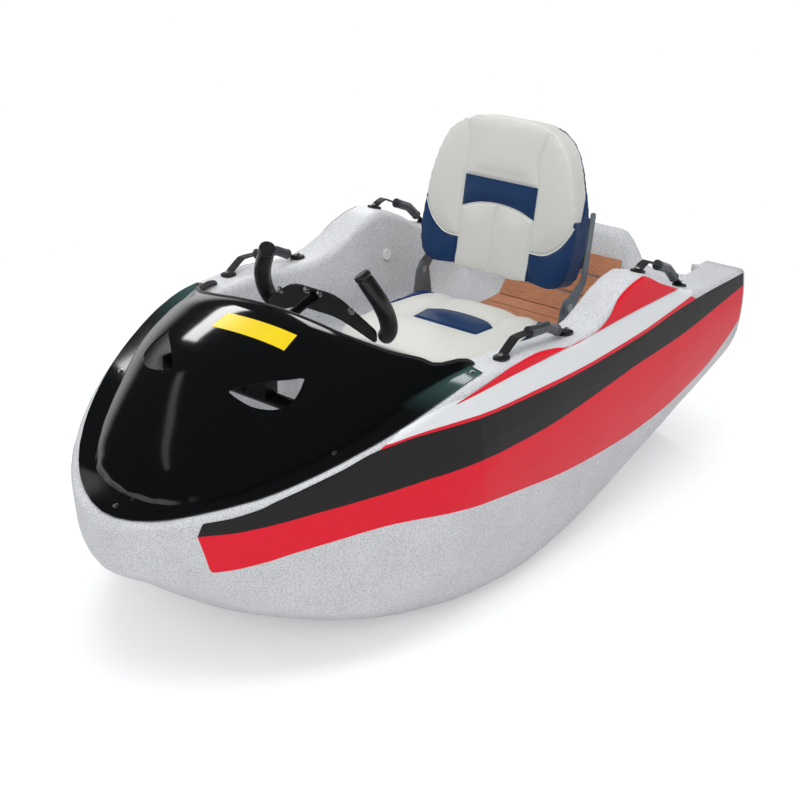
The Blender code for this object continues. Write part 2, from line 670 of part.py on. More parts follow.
def build_dash_beam(housing_centre):
    x = housing_centre.x
    low = BEAM_Z - BEAM_PLATE[2] / 2
    reach = min(wall_y(x - BEAM_PLATE[0] / 2, low), wall_y(x + BEAM_PLATE[0] / 2, low)) - 3 * FIT_GAP
    beam = bmesh.new()
    rod_mesh(beam, (x, -reach + BEAM_PLATE[1] / 2, BEAM_Z), (x, reach - BEAM_PLATE[1] / 2, BEAM_Z), BEAM_RADIUS)
    made = from_bmesh("dash_beam", beam, BLACK_STEEL)
    for side in (1, -1):
        inner = side * (reach - BEAM_PLATE[1])
        outer = side * reach
        plate = box("beam_plate", (x - BEAM_PLATE[0] / 2, min(inner, outer), low),
                    (x + BEAM_PLATE[0] / 2, max(inner, outer), low + BEAM_PLATE[2]), None, tool=True)
        apply_cut(made, plate, "UNION")
    post_top = housing_centre.z
    post = box("beam_post", (x - 0.020, -0.030, BEAM_Z), (x + 0.020, 0.030, post_top), None, tool=True)
    apply_cut(made, post, "UNION")
    grown = bmesh.new()
    half = [v / 2 + FIT_GAP for v in HOUSING]
    verts = box_mesh(grown, [-v for v in half], half)
    turn = yoke_frame()
    turn.translation = housing_centre
    bmesh.ops.transform(grown, matrix=turn, verts=verts)
    apply_cut(made, from_bmesh("housing_room", grown, None, tool=True))


def seat_frame():
    up = Vector((-math.sin(RECLINE), 0.0, math.cos(RECLINE)))
    ahead = Vector((math.cos(RECLINE), 0.0, math.sin(RECLINE)))
    turn = Matrix((ahead, Vector((0.0, 1.0, 0.0)), up)).transposed().to_4x4()
    return Matrix.Translation((HINGE_X, 0.0, HINGE_Z)) @ turn


def soft_block(name, outline, low, high, axis, edge, material, place=None):
    bm = bmesh.new()
    prism_mesh(bm, outline, low, high, axis=axis)
    rims = [e for e in bm.edges if len(e.link_faces) == 2 and e.calc_face_angle(0.0) > 1.0]
    bmesh.ops.bevel(bm, geom=rims, offset=edge, segments=3, affect="EDGES", clamp_overlap=True)
    if place is not None:
        bmesh.ops.transform(bm, matrix=place, verts=bm.verts)
    return from_bmesh(name, bm, material, smooth=60.0)


def build_seat():
    base_low = BENCH_Z + FIT_GAP
    base_top = base_low + SEAT_BASE_THICK
    box("seat_base", (CUSHION_BACK + 0.01, -CUSHION_HALF + 0.01, base_low),
        (CUSHION_FRONT - 0.03, CUSHION_HALF - 0.01, base_top), BLACK_NYLON, 0.003)
    front, back, half = CUSHION_FRONT, CUSHION_BACK, CUSHION_HALF
    outline = round_corners([
        (back, -half * 0.96, 0.05, 4), (back * 0.4 + front * 0.6, -half, 0.06, 2), (front, -half * 0.86, 0.07, 5),
        (front, half * 0.86, 0.07, 5), (back * 0.4 + front * 0.6, half, 0.06, 2), (back, half * 0.96, 0.05, 4),
    ])
    soft_block("seat_cushion", outline, base_top + FIT_GAP, CUSHION_TOP, "Z", CUSHION_ROUND, WHITE_VINYL)
    outline = round_corners([
        (-BACK_HALF * 0.90, BACK_LOW, 0.05, 4), (-BACK_HALF, BACK_HIGH * 0.45, 0.08, 3),
        (-BACK_HALF * 0.68, BACK_HIGH, 0.11, 5), (BACK_HALF * 0.68, BACK_HIGH, 0.11, 5),
        (BACK_HALF, BACK_HIGH * 0.45, 0.08, 3), (BACK_HALF * 0.90, BACK_LOW, 0.05, 4),
    ])
    soft_block("seat_back", outline, BACK_REAR, BACK_FRONT, "X", 0.026, WHITE_VINYL, seat_frame())
    for side, word in ((1, "port"), (-1, "starboard")):
        build_bracket(side, word)
        build_arm(side, word)
        build_pin(side, word)


BRACKET_Y = HINGE_Y - BRACKET_PLATE - FIT_GAP
ARM_Y = HINGE_Y + FIT_GAP


def between(side, a, b):
    return (min(side * a, side * b), max(side * a, side * b))


def build_bracket(side, word):
    """Lower hinge plate: a foot on the bench and a cheek beside the cushion."""
    cheek = bmesh.new()
    floor = BENCH_Z + FIT_GAP
    outline = round_corners([
        (HINGE_X - 0.050, floor, 0.002, 1), (HINGE_X + 0.055, floor, 0.002, 1),
        (HINGE_X + 0.030, HINGE_Z + 0.006, 0.012, 4), (HINGE_X + 0.014, HINGE_Z + 0.024, 0.012, 4),
        (HINGE_X - 0.022, HINGE_Z + 0.024, 0.014, 4),
    ])
    low, high = between(side, BRACKET_Y, BRACKET_Y + BRACKET_PLATE)
    prism_mesh(cheek, outline, low, high, axis="Y")
    made = from_bmesh("seat_bracket_" + word, cheek, GREY_STEEL)
    low, high = between(side, BRACKET_Y + 0.001, BRACKET_Y + 0.030)
    foot = box("bracket_foot", (HINGE_X - 0.045, low, floor), (HINGE_X + 0.050, high, floor + BRACKET_PLATE),
               None, tool=True)
    apply_cut(made, foot, "UNION")
    hole = rod("pin_hole", (HINGE_X, side * (BRACKET_Y - 0.01), HINGE_Z),
               (HINGE_X, side * (BRACKET_Y + 0.02), HINGE_Z), PIN_RADIUS + FIT_GAP, None, tool=True)
    apply_cut(made, hole)


def build_arm(side, word):
    """Upper hinge plate: it climbs behind the seat back's edge and turns in behind it."""
    arm = bmesh.new()
    rear = BACK_REAR - FIT_GAP
    outline = round_corners([
        (0.018, -0.018, 0.012, 4), (0.018, 0.018, 0.012, 4), (rear, 0.070, 0.012, 3),
        (rear, 0.250, 0.004, 2), (rear - 0.022, 0.250, 0.012, 4), (rear - 0.026, 0.060, 0.02, 3),
        (-0.018, -0.018, 0.012, 4),
    ])
    low, high = between(side, ARM_Y, ARM_Y + BRACKET_PLATE)
    verts = prism_mesh(arm, [(a, b) for a, b in outline], low, high, axis="Y")
    bmesh.ops.transform(arm, matrix=seat_frame(), verts=verts)
    made = from_bmesh("seat_arm_" + word, arm, GREY_STEEL)
    low, high = between(side, ARM_Y - 0.040, ARM_Y + 0.001)
    tab = bmesh.new()
    verts = box_mesh(tab, (rear - BRACKET_PLATE, low, 0.100), (rear - FIT_GAP, high, 0.235))
    bmesh.ops.transform(tab, matrix=seat_frame(), verts=verts)
    apply_cut(made, from_bmesh("arm_tab", tab, None, tool=True), "UNION")
    hole = rod("arm_hole", (HINGE_X, side * (ARM_Y - 0.01), HINGE_Z),
               (HINGE_X, side * (ARM_Y + 0.02), HINGE_Z), PIN_RADIUS + FIT_GAP, None, tool=True)
    apply_cut(made, hole)


def build_pin(side, word):
    """Hinge bolt: a head outside the arm and a nut inside the cheek."""
    bolt = bmesh.new()
    inner = side * (BRACKET_Y - FIT_GAP)
    outer = side * (ARM_Y + BRACKET_PLATE + FIT_GAP)
    rod_mesh(bolt, (HINGE_X, inner - side * 0.003, HINGE_Z), (HINGE_X, outer + side * 0.003, HINGE_Z), PIN_RADIUS)
    made = from_bmesh("hinge_bolt_" + word, bolt, STEEL)
    head = rod("bolt_head", (HINGE_X, outer, HINGE_Z), (HINGE_X, outer + side * 0.005, HINGE_Z),
               PIN_RADIUS * 1.9, None, tool=True)
    nut = rod("bolt_nut", (HINGE_X, inner, HINGE_Z), (HINGE_X, inner - side * 0.004, HINGE_Z),
              PIN_RADIUS * 1.8, None, sides=6, tool=True)
    apply_cut(made, head, "UNION")
    apply_cut(made, nut, "UNION")


def rail_middle(x):
    return 0.5 * (rail_half(x) - RAIL_ROUND + cockpit(1, x) * rail_half(x) + 0.022)


def deck_z(x):
    """Height of the rail as it is built, straight from station to station."""
    places = hull_places()
    return float(np.interp(x, places, [rail_z(place) for place in places]))


def strap_place(start, end, share):
    """The middle of a strap at a share of its way: lifted between its ends, clear of the rail."""
    way = end - start
    lift = HANDLE_LIFT * min(1.0, math.sin(math.pi * share) * 1.35) ** 1.3
    here = start + way * share
    clear = max(deck_z(here.x) - here.z, 0.0)
    return here + Vector((0, 0, ANCHOR_THICK * 0.6 + lift + clear))


def build_handles():
    """Webbing strap between two anchors on the rail, with a hard sleeve as the grip."""
    for row, ahead, behind, grip_start, grip_end in HANDLE_ROWS:
        for side, word in ((1, "port"), (-1, "starboard")):
            start = Vector((ahead, side * rail_middle(ahead), deck_z(ahead) + FIT_GAP))
            end = Vector((behind, side * rail_middle(behind), deck_z(behind) + FIT_GAP))
            steps = 24
            strap = bmesh.new()
            rings = []
            for i in range(steps + 1):
                middle = strap_place(start, end, i / steps)
                rings.append([strap.verts.new(middle + Vector((0, a * STRAP_HALF, b * STRAP_THICK / 2)))
                              for a, b in ((-1, -1), (1, -1), (1, 1), (-1, 1))])
            for a, b in zip(rings, rings[1:]):
                for i in range(4):
                    j = (i + 1) % 4
                    strap.faces.new((a[i], a[j], b[j], b[i]))
            strap.faces.new(rings[0])
            strap.faces.new(rings[-1][::-1])
            made = from_bmesh("handle_strap_%s_%s" % (row, word), strap, BLACK_NYLON)
            sleeve = rod("sleeve", strap_place(start, end, grip_start), strap_place(start, end, grip_end),
                         SLEEVE_RADIUS, None, tool=True)
            apply_cut(made, sleeve, "UNION")
            for place in (start, end):
                along = 0.010
                slope = (deck_z(place.x + along) - deck_z(place.x - along)) / (2 * along)
                tilt = Vector((-slope, 0, 1)).normalized()
                reach = [ANCHOR_RADIUS * share for share in (-1.0, -0.5, 0.5, 1.0)]
                hump = max(deck_z(place.x + d) - deck_z(place.x) - slope * d for d in reach)
                low = place + tilt * (max(hump, 0.0) + 2 * FIT_GAP)
                anchor = rod("anchor", low, low + tilt * ANCHOR_THICK, ANCHOR_RADIUS, None, sides=20, tool=True)
                apply_cut(made, anchor, "UNION")


def pad_profile():
    """The bench's middle line from the seat back to the top of the sloping wall: x, z."""
    places = [x for x in hull_places() if TRANSOM_FRONT + 0.012 <= x <= CUSHION_BACK - 0.020]
    return [(x, cockpit(4, x)) for x in sorted(places, reverse=True)]


def build_pads():
    line = pad_profile()
    lengths = [0.0]
    for (x0, z0), (x1, z1) in zip(line, line[1:]):
        lengths.append(lengths[-1] + math.hypot(x1 - x0, z1 - z0))

    flats = []
    for (x0, z0), (x1, z1) in zip(line, line[1:]):
        flats.append(Vector((z1 - z0, x0 - x1)).normalized())
    raised = []
    for i in range(len(line)):
        before = flats[max(i - 1, 0)]
        after = flats[min(i, len(flats) - 1)]
        middle = (before + after).normalized()
        raised.append(middle / middle.dot(before))

    def at(distance, lift):
        k = max(0, min(int(np.searchsorted(lengths, distance)) - 1, len(line) - 2))
        t = (distance - lengths[k]) / (lengths[k + 1] - lengths[k])
        place = Vector(line[k]).lerp(Vector(line[k + 1]), t)
        return place + raised[k].lerp(raised[k + 1], t) * lift

    total = lengths[-1]
    count = 7
    width = (total - PAD_GAP * (count - 1)) / count
    for i in range(count):
        start = i * (width + PAD_GAP)
        stops = [start] + [s for s in lengths if start < s < start + width] + [start + width]
        low = [at(s, FIT_GAP * 2) for s in stops]
        high = [at(s, FIT_GAP * 2 + PAD_THICK) for s in stops]
        strip = bmesh.new()
        prism_mesh(strip, [(x, z) for x, z in low + high[::-1]], -PAD_HALF, PAD_HALF, axis="Y")
        from_bmesh("deck_pad_%d" % (i + 1), strip, BROWN_PAD)


def build_thruster():
    plate_front = TRANSOM_BACK - FIT_GAP
    plate_low = PLATE_TOP - PLATE_HEIGHT
    plate = box("transom_bracket", (plate_front - 0.008, -PLATE_HALF, plate_low), (plate_front, PLATE_HALF, PLATE_TOP),
                BLACK_STEEL)
    for low in (plate_low + 0.020, PLATE_TOP - 0.040):
        lug = box("bracket_lug", (PIVOT_X - LUG_HALF, -LUG_HALF, low),
                  (plate_front - 0.004, LUG_HALF, low + LUG_HEIGHT), None, 0.002, tool=True)
        apply_cut(plate, lug, "UNION")
    bore = rod("bracket_bore", (PIVOT_X, 0, plate_low - 0.01), (PIVOT_X, 0, PLATE_TOP + 0.02),
               LEG_RADIUS + FIT_GAP * 2, None, tool=True)
    apply_cut(plate, bore)
    leg = rod("thruster_leg", (PIVOT_X, 0, POD_Z), (PIVOT_X, 0, PLATE_TOP + 0.005), LEG_RADIUS, BLACK_STEEL)
    along = Matrix.Translation((PIVOT_X, 0, POD_Z)) @ Matrix.Rotation(math.pi / 2, 4, "Y")
    pod = turned("pod", (
        (0.0, POD_FRONT), (0.012, POD_FRONT - 0.003), (0.024, POD_FRONT - 0.016), (0.032, POD_FRONT - 0.035),
        (POD_RADIUS, POD_FRONT - 0.060), (POD_RADIUS, 0.012), (0.026, -POD_BACK), (0.0, -POD_BACK),
    ), along, None, tool=True)
    apply_cut(leg, pod, "UNION")
    shaft = rod("propeller_shaft", (PIVOT_X, 0, POD_Z), (PIVOT_X - POD_BACK - PROPELLER_LENGTH, 0, POD_Z),
                PROPELLER_SHAFT, None, tool=True)
    apply_cut(leg, shaft, "UNION")
    seat = PLATE_TOP - 0.040 + LUG_HEIGHT + 0.0005
    collar = rod("leg_collar", (PIVOT_X, 0, seat), (PIVOT_X, 0, seat + 0.010), LEG_RADIUS + 0.004, None, tool=True)
    apply_cut(leg, collar, "UNION")
    ring_in = PROPELLER_RADIUS + GUARD_GAP
    ring_front = PIVOT_X - LEG_RADIUS - 0.003
    ring = bmesh.new()
    rod_mesh(ring, (ring_front - GUARD_WIDTH, 0, POD_Z), (ring_front, 0, POD_Z), ring_in + GUARD_THICK, sides=40)
    guard = from_bmesh("propeller_guard", ring, BLACK_NYLON)
    hole = rod("guard_hole", (PIVOT_X - 0.1, 0, POD_Z), (PIVOT_X + 0.2, 0, POD_Z), ring_in, None, sides=40, tool=True)
    apply_cut(guard, hole)
    sleeve_back = PIVOT_X + LEG_RADIUS + 0.003
    sleeve = rod("guard_sleeve", (sleeve_back, 0, POD_Z), (sleeve_back + SLEEVE_WIDTH, 0, POD_Z),
                 POD_RADIUS + 0.004, None, sides=24, tool=True)
    for i in range(4):
        a = math.pi / 4 + i * math.pi / 2
        way = Vector((0, math.cos(a), math.sin(a)))
        low = Vector((sleeve_back + SLEEVE_WIDTH / 2, 0, POD_Z)) + way * (POD_RADIUS + 0.002)
        high = Vector((ring_front - GUARD_WIDTH / 2, 0, POD_Z)) + way * (ring_in + 0.003)
        apply_cut(guard, rod("guard_strut", low, high, 0.0028, None, sides=8, tool=True), "UNION")
    apply_cut(guard, sleeve, "UNION")
    pod_room = rod("pod_room", (PIVOT_X, 0, POD_Z), (PIVOT_X + 0.1, 0, POD_Z), POD_RADIUS + FIT_GAP, None,
                   sides=24, tool=True)
    apply_cut(guard, pod_room)
    hub_front = PIVOT_X - POD_BACK - PROPELLER_GAP
    prop = rod("propeller", (hub_front - PROPELLER_LENGTH, 0, POD_Z), (hub_front, 0, POD_Z), PROPELLER_HUB,
               BLACK_NYLON, sides=20)
    for i in range(3):
        blade = bmesh.new()
        outline = round_corners([
            (-0.008, PROPELLER_HUB * 0.7, 0.002, 1), (0.008, PROPELLER_HUB * 0.7, 0.002, 1),
            (0.026, PROPELLER_RADIUS * 0.62, 0.02, 3), (0.010, PROPELLER_RADIUS * 0.985, 0.012, 3),
            (-0.016, PROPELLER_RADIUS * 0.93, 0.012, 3), (-0.022, PROPELLER_RADIUS * 0.55, 0.02, 3),
        ])
        verts = prism_mesh(blade, outline, -0.0015, 0.0015, axis="X")
        pitch = Matrix.Rotation(math.radians(20.0), 4, "Z")
        turn = Matrix.Rotation(i * math.tau / 3, 4, "X")
        place = Matrix.Translation((hub_front - 0.009, 0, POD_Z))
        bmesh.ops.transform(blade, matrix=place @ turn @ pitch, verts=verts)
        apply_cut(prop, from_bmesh("blade", blade, None, tool=True), "UNION")
    bore = rod("propeller_bore", (hub_front + 0.01, 0, POD_Z), (hub_front - PROPELLER_LENGTH - 0.01, 0, POD_Z),
               PROPELLER_SHAFT + FIT_GAP * 1.5, None, tool=True)
    apply_cut(prop, bore)


def build_plugs():
    for i, (x, z) in enumerate(PLUG_ROWS):
        for side, word in ((1, "port"), (-1, "starboard")):
            y = wall_y(x, z)
            lean = (wall_y(x, z + 0.01) - wall_y(x, z - 0.01)) / 0.02
            inward = Vector((0, -side, lean)).normalized()
            start = Vector((x, side * y, z)) + inward * 0.0008
            rod("wall_plug_%d_%s" % (i + 1, word), start, start + inward * PLUG_THICK, PLUG_RADIUS, WHITE_PLUG, 20)


build_hull()
build_hood()
build_hood_trim()
build_dash_beam(build_steering())
build_seat()
build_handles()
build_pads()
build_thruster()
build_plugs()
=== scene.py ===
"""A one-seat water kart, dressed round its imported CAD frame.

Metres, +X to the bow, +Y to port, +Z up. The hull stands on the floor at z = 0.
"""
import json
import math

import bmesh
import bpy
import numpy as np
from mathutils import Matrix, Vector
from mathutils.bvhtree import BVHTree

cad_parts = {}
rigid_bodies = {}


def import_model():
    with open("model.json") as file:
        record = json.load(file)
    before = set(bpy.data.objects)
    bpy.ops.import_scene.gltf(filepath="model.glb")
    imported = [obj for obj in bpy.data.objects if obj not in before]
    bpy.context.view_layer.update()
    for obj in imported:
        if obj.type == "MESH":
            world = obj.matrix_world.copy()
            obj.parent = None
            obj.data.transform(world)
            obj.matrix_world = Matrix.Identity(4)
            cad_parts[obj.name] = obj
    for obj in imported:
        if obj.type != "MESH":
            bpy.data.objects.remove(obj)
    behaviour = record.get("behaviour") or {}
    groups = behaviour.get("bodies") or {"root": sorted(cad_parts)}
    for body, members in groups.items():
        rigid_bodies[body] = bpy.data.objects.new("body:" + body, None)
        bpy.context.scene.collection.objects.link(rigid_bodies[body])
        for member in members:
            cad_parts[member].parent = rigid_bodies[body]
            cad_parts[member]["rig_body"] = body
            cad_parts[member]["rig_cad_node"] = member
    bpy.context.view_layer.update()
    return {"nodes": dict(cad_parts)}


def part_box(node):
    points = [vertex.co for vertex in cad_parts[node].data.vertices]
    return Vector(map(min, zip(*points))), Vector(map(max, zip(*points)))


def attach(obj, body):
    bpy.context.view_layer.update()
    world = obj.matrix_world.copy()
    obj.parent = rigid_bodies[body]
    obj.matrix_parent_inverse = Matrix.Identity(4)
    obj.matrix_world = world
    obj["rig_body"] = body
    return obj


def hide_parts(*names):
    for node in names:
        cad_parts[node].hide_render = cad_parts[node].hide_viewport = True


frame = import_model()

# Camera: stands off the port bow at head height and looks down on the kart,
# through a lens a little longer than normal.
CAMERA_PLACE = (2.478, 2.074, 1.807)
CAMERA_DOWN = 24.65
CAMERA_YAW = -140.50
CAMERA_LENS = 62.1

bpy.ops.object.camera_add(location=CAMERA_PLACE,
                          rotation=(math.radians(90 - CAMERA_DOWN), 0, math.radians(CAMERA_YAW - 90)))
camera = bpy.context.active_object
camera.name = "camera"
camera.data.lens = CAMERA_LENS
camera.data.sensor_width = 36.0
bpy.context.scene.camera = camera
bpy.context.scene.view_settings.view_transform = "Standard"


# Studio: a white paper floor that keeps the kart's shadow, large soft lamps overhead
# and at the bow, small strip lamps that draw the hood's highlights, and a pale world.
def linear(code):
    """An sRGB hex colour as linear RGBA."""
    values = [int(code[i:i + 2], 16) / 255 for i in (1, 3, 5)]
    return [v / 12.92 if v <= 0.04045 else ((v + 0.055) / 1.055) ** 2.4 for v in values] + [1.0]


def node(tree, kind, links=None, **settings):
    """Add a shader node. Settings are inputs by name or number, a ramp's colours, or attributes.

    Links feed its inputs from sockets, or from the first output of other nodes."""
    made = tree.nodes.new("ShaderNode" + kind)
    for key, value in settings.items():
        socket = int(key[2:]) if key.startswith("in") and key[2:].isdigit() else key.replace("_", " ")
        if key == "colours":
            for stop, colour in zip(made.color_ramp.elements, value):
                stop.color = colour
        elif isinstance(socket, int) or socket in made.inputs:
            made.inputs[socket].default_value = value
        else:
            setattr(made, key, value)
    for key, source in (links or {}).items():
        tree.links.new(source.outputs[0] if hasattr(source, "outputs") else source, made.inputs[key])
    return made


def new_material(name):
    """An empty material: returns it, its tree, and the place on the piece as a socket."""
    material = bpy.data.materials.new(name)
    material.use_nodes = True
    tree = material.node_tree
    tree.nodes.clear()
    return material, tree, node(tree, "TexCoord").outputs["Object"]


def seen_directly(tree):
    """A light path node, and 1 where the ray comes from the camera or through a clear piece."""
    rays = node(tree, "LightPath")
    seen = {0: rays.outputs["Is Camera Ray"], 1: rays.outputs["Is Transmission Ray"]}
    return rays, node(tree, "Math", seen, operation="MAXIMUM")


FLOOR_SIZE = 14.0
FLOOR_DROP = 0.0004
FLOOR_WHITE = "#F4F4F4"
FLOOR_GLOW = 0.30
FADE_START = 1.25
FADE_END = 2.6
WORLD_LIGHT = 0.55

bpy.ops.mesh.primitive_plane_add(size=FLOOR_SIZE, location=(0, 0, -FLOOR_DROP))
floor = bpy.context.active_object
floor.name = "studio_floor"
paint, tree, place = new_material("white_paper_floor")
rays, shown = seen_directly(tree)
away = node(tree, "VectorMath", {0: place}, operation="LENGTH")
far = node(tree, "MapRange", {"Value": away.outputs["Value"]}, in1=FADE_START, in2=FADE_END)
plain = node(tree, "BsdfDiffuse", Color=linear(FLOOR_WHITE))
bright = node(tree, "Emission", Color=(1, 1, 1, 1), Strength=FLOOR_GLOW)
lit_paper = node(tree, "AddShader", {0: plain, 1: bright})
paper = node(tree, "Emission", Color=(1, 1, 1, 1), Strength=1.0)
fade = node(tree, "MixShader", {0: far, 1: lit_paper, 2: paper})
pick = node(tree, "MixShader", {0: shown, 1: plain, 2: fade})
node(tree, "OutputMaterial", {0: pick})
floor.data.materials.append(paint)

# The camera sees a white backdrop. Glossy pieces mirror it up to about 9 degrees above
# the floor, and from about 17 degrees up a dark ceiling
CEILING_FROM = 0.16
CEILING_FULL = 0.30
CEILING_LEVEL = 0.05
world = bpy.data.worlds.new("pale_studio")
world.use_nodes = True
tree = world.node_tree
tree.nodes.clear()
rays, direct = seen_directly(tree)
shown = node(tree, "Math", {0: direct, 1: rays.outputs["Is Glossy Ray"]}, operation="MAXIMUM")
way = node(tree, "TexCoord")
height = node(tree, "SeparateXYZ", {0: way.outputs["Generated"]})
ceiling = node(tree, "MapRange", {"Value": height.outputs["Z"]}, in1=CEILING_FROM, in2=CEILING_FULL,
               in3=1.0, in4=CEILING_LEVEL)
dim = node(tree, "Background", Color=(0.94, 0.96, 1.0, 1), Strength=WORLD_LIGHT)
level = node(tree, "Math", {0: direct, 1: ceiling}, operation="MAXIMUM")
white = node(tree, "Background", {"Strength": level}, Color=(1, 1, 1, 1))
pick = node(tree, "MixShader", {0: shown, 1: dim, 2: white})
node(tree, "OutputWorld", {0: pick})
bpy.context.scene.world = world

# name, place, aimed at, width, length, watts
LAMPS = (
    ("overhead", (0.3, 0.4, 3.4), (0.0, 0.0, 0.3), 3.2, 2.4, 54.0),
    ("bow_port", (3.6, 2.4, 2.4), (0.2, 0.2, 0.4), 1.8, 1.8, 34.0),
    ("aft_starboard", (-2.4, -2.2, 2.2), (-0.2, 0.0, 0.5), 0.5, 2.4, 16.0),
    ("strip_starboard", (0.12, -1.08, 1.345), (0.49, -0.10, 0.67), 0.50, 0.17, 2.1),
    ("strip_bow", (1.45, -1.78, 2.28), (0.72, 0.0, 0.54), 1.60, 0.11, 0.4),
)
for name, place, aim, width, length, watts in LAMPS:
    bpy.ops.object.light_add(type="AREA", location=place)
    lamp = bpy.context.active_object
    lamp.name = "lamp_" + name
    lamp.data.shape = "RECTANGLE"
    lamp.data.size = width
    lamp.data.size_y = length
    lamp.data.energy = watts
    lamp.rotation_euler = (Vector(aim) - Vector(place)).to_track_quat("-Z", "Y").to_euler()
    lamp.visible_camera = False
    lamp.visible_glossy = name not in ("bow_port", "overhead")


# Hull: one hollow moulding of rotomoulded polyethylene. The granite look is
# dark and light grit in pale grey plastic, with a faint orange-peel skin.
def smooth_copy(source, name, angle, body):
    """A CAD node's mesh with its loose triangles joined and shaded smooth, standing for that node."""
    bpy.ops.object.select_all(action="DESELECT")
    original = frame["nodes"][source]
    original.select_set(True)
    bpy.context.view_layer.objects.active = original
    bpy.ops.object.duplicate()
    piece = bpy.context.active_object
    piece.name = name
    piece.parent = None
    piece.matrix_world = Matrix.Identity(4)
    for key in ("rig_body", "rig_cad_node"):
        if key in piece:
            del piece[key]
    piece.data.materials.clear()
    bpy.ops.object.mode_set(mode="EDIT")
    bpy.ops.mesh.select_all(action="SELECT")
    bpy.ops.mesh.remove_doubles(threshold=0.00002)
    bpy.ops.object.mode_set(mode="OBJECT")
    bpy.ops.object.shade_smooth_by_angle(angle=math.radians(angle))
    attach(piece, body)
    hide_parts(source)
    return piece


def tree_of(piece):
    """The piece's faces as they stand, for casting rays at them."""
    mesh = piece.data
    return BVHTree.FromPolygons([v.co[:] for v in mesh.vertices], [tuple(p.vertices) for p in mesh.polygons])


GRIT_MM = 1.2
CELLS_A_GRAIN = 2.4
GRANITE_BASE = "#D0D1D3"
GRANITE_DARK = "#A6A8AC"
GRANITE_LIGHT = "#E4E5E6"

granite, tree, place = new_material("granite_polyethylene_rotomoulded")
grit = node(tree, "TexNoise", {"Vector": place}, Scale=1000 / GRIT_MM / CELLS_A_GRAIN, Detail=2.0,
            Roughness=0.65)
specks = node(tree, "ValToRGB", {"Fac": grit}, colours=(linear(GRANITE_DARK), linear(GRANITE_BASE)))
stops = specks.color_ramp.elements
stops[0].position, stops[1].position = 0.30, 0.47
stops.new(0.66).color = linear(GRANITE_LIGHT)
cloud = node(tree, "TexNoise", {"Vector": place}, Scale=9.0, Detail=3.0)
tone = node(tree, "MapRange", {"Value": cloud}, in1=0.3, in2=0.7, in3=0.94, in4=1.04)
mix = node(tree, "MixRGB", {1: specks, 2: tone}, blend_type="MULTIPLY", in0=1.0)
skin = node(tree, "Bump", {"Height": grit}, Strength=0.25, Distance=0.0004)
shader = node(tree, "BsdfPrincipled", {"Base Color": mix, "Normal": skin}, Roughness=0.42)
node(tree, "OutputMaterial", {0: shader})

hull = smooth_copy("hull", "hull_moulding", 35.0, "boat")
hull.data.materials.append(granite)
hull_faces = tree_of(hull)


# Side stripes: cut vinyl film laid on both flanks, black over red, with a white
# band, a thin red line and a red wedge above it. Glossy, and lifted off the hull as
# film is, so that its edges stay clean.
FILM_OFF = 0.0006
FILM_STEP = 0.006
SIDES = ((1, "port"), (-1, "starboard"))
FLANK = 0.478
FILM_REACH = 0.3
FILM_ROUND = 0.012
FILM_LINES = 18
FILM_SEARCH = 0.0015
LEAST_WIDE = 0.12

# Each edge is a list of x, z seen square from the side, from bow to stern
BLACK_TOP = ((0.850, 0.408), (0.812, 0.417), (0.767, 0.431), (0.728, 0.448), (0.664, 0.472),
             (0.612, 0.490), (0.529, 0.517), (0.444, 0.524), (0.321, 0.520), (0.182, 0.513),
             (0.019, 0.507), (-0.167, 0.503), (-0.366, 0.508), (-0.540, 0.520), (-0.671, 0.526),
             (-0.938, 0.526))
BLACK_LOW = ((0.857, 0.379), (0.800, 0.385), (0.764, 0.391), (0.671, 0.406), (0.596, 0.413),
             (0.514, 0.418), (0.424, 0.422), (0.370, 0.422), (0.280, 0.423), (0.197, 0.420),
             (0.011, 0.418), (-0.239, 0.432), (-0.362, 0.441), (-0.583, 0.450), (-0.760, 0.468),
             (-0.938, 0.491))
RED_LOW = ((0.842, 0.290), (0.820, 0.296), (0.769, 0.309), (0.711, 0.324), (0.640, 0.335), (0.561, 0.342),
           (0.477, 0.340), (0.293, 0.318), (0.236, 0.310), (0.109, 0.290), (-0.060, 0.265),
           (-0.235, 0.251), (-0.398, 0.247), (-0.568, 0.260), (-0.750, 0.293), (-0.860, 0.338),
           (-0.938, 0.389))
LINE_TOP = ((0.514, 0.524), (0.430, 0.530), (0.320, 0.528), (0.181, 0.521), (0.017, 0.517),
            (-0.168, 0.512), (-0.367, 0.518), (-0.540, 0.530), (-0.648, 0.540))
WHITE_TOP = ((0.470, 0.544), (0.398, 0.564), (0.332, 0.574), (0.171, 0.576), (0.009, 0.576),
             (-0.140, 0.573), (-0.372, 0.576), (-0.583, 0.573), (-0.670, 0.555))
WEDGE_TOP = ((0.333, 0.575), (0.311, 0.579), (0.180, 0.595), (0.119, 0.599), (0.046, 0.599),
             (-0.019, 0.588), (-0.050, 0.579), (-0.091, 0.572), (-0.123, 0.571), (-0.198, 0.577),
             (-0.248, 0.595), (-0.297, 0.629), (-0.350, 0.648), (-0.392, 0.655), (-0.426, 0.653),
             (-0.494, 0.613), (-0.583, 0.574))


def between(points, k, t):
    """A point on a smooth curve through all the points, a share t of the way past the k-th."""
    before, here, there, after = (points[min(max(k + i, 0), len(points) - 1)] for i in (-1, 0, 1, 2))
    return 0.5 * (2 * here + (there - before) * t + (2 * before - 5 * here + 4 * there - after) * t**2
                  + (3 * here - before - 3 * there + after) * t**3)


def edge_place(rows, share):
    """A place on a smooth line through an edge's rows, at a share of its length."""
    points = np.array(rows)
    step = np.concatenate([[0.0], np.cumsum(np.hypot(*np.diff(points, axis=0).T))])
    want = share * step[-1]
    k = int(np.clip(np.searchsorted(step, want) - 1, 0, len(points) - 2))
    return between(points, k, (want - step[k]) / (step[k + 1] - step[k]))


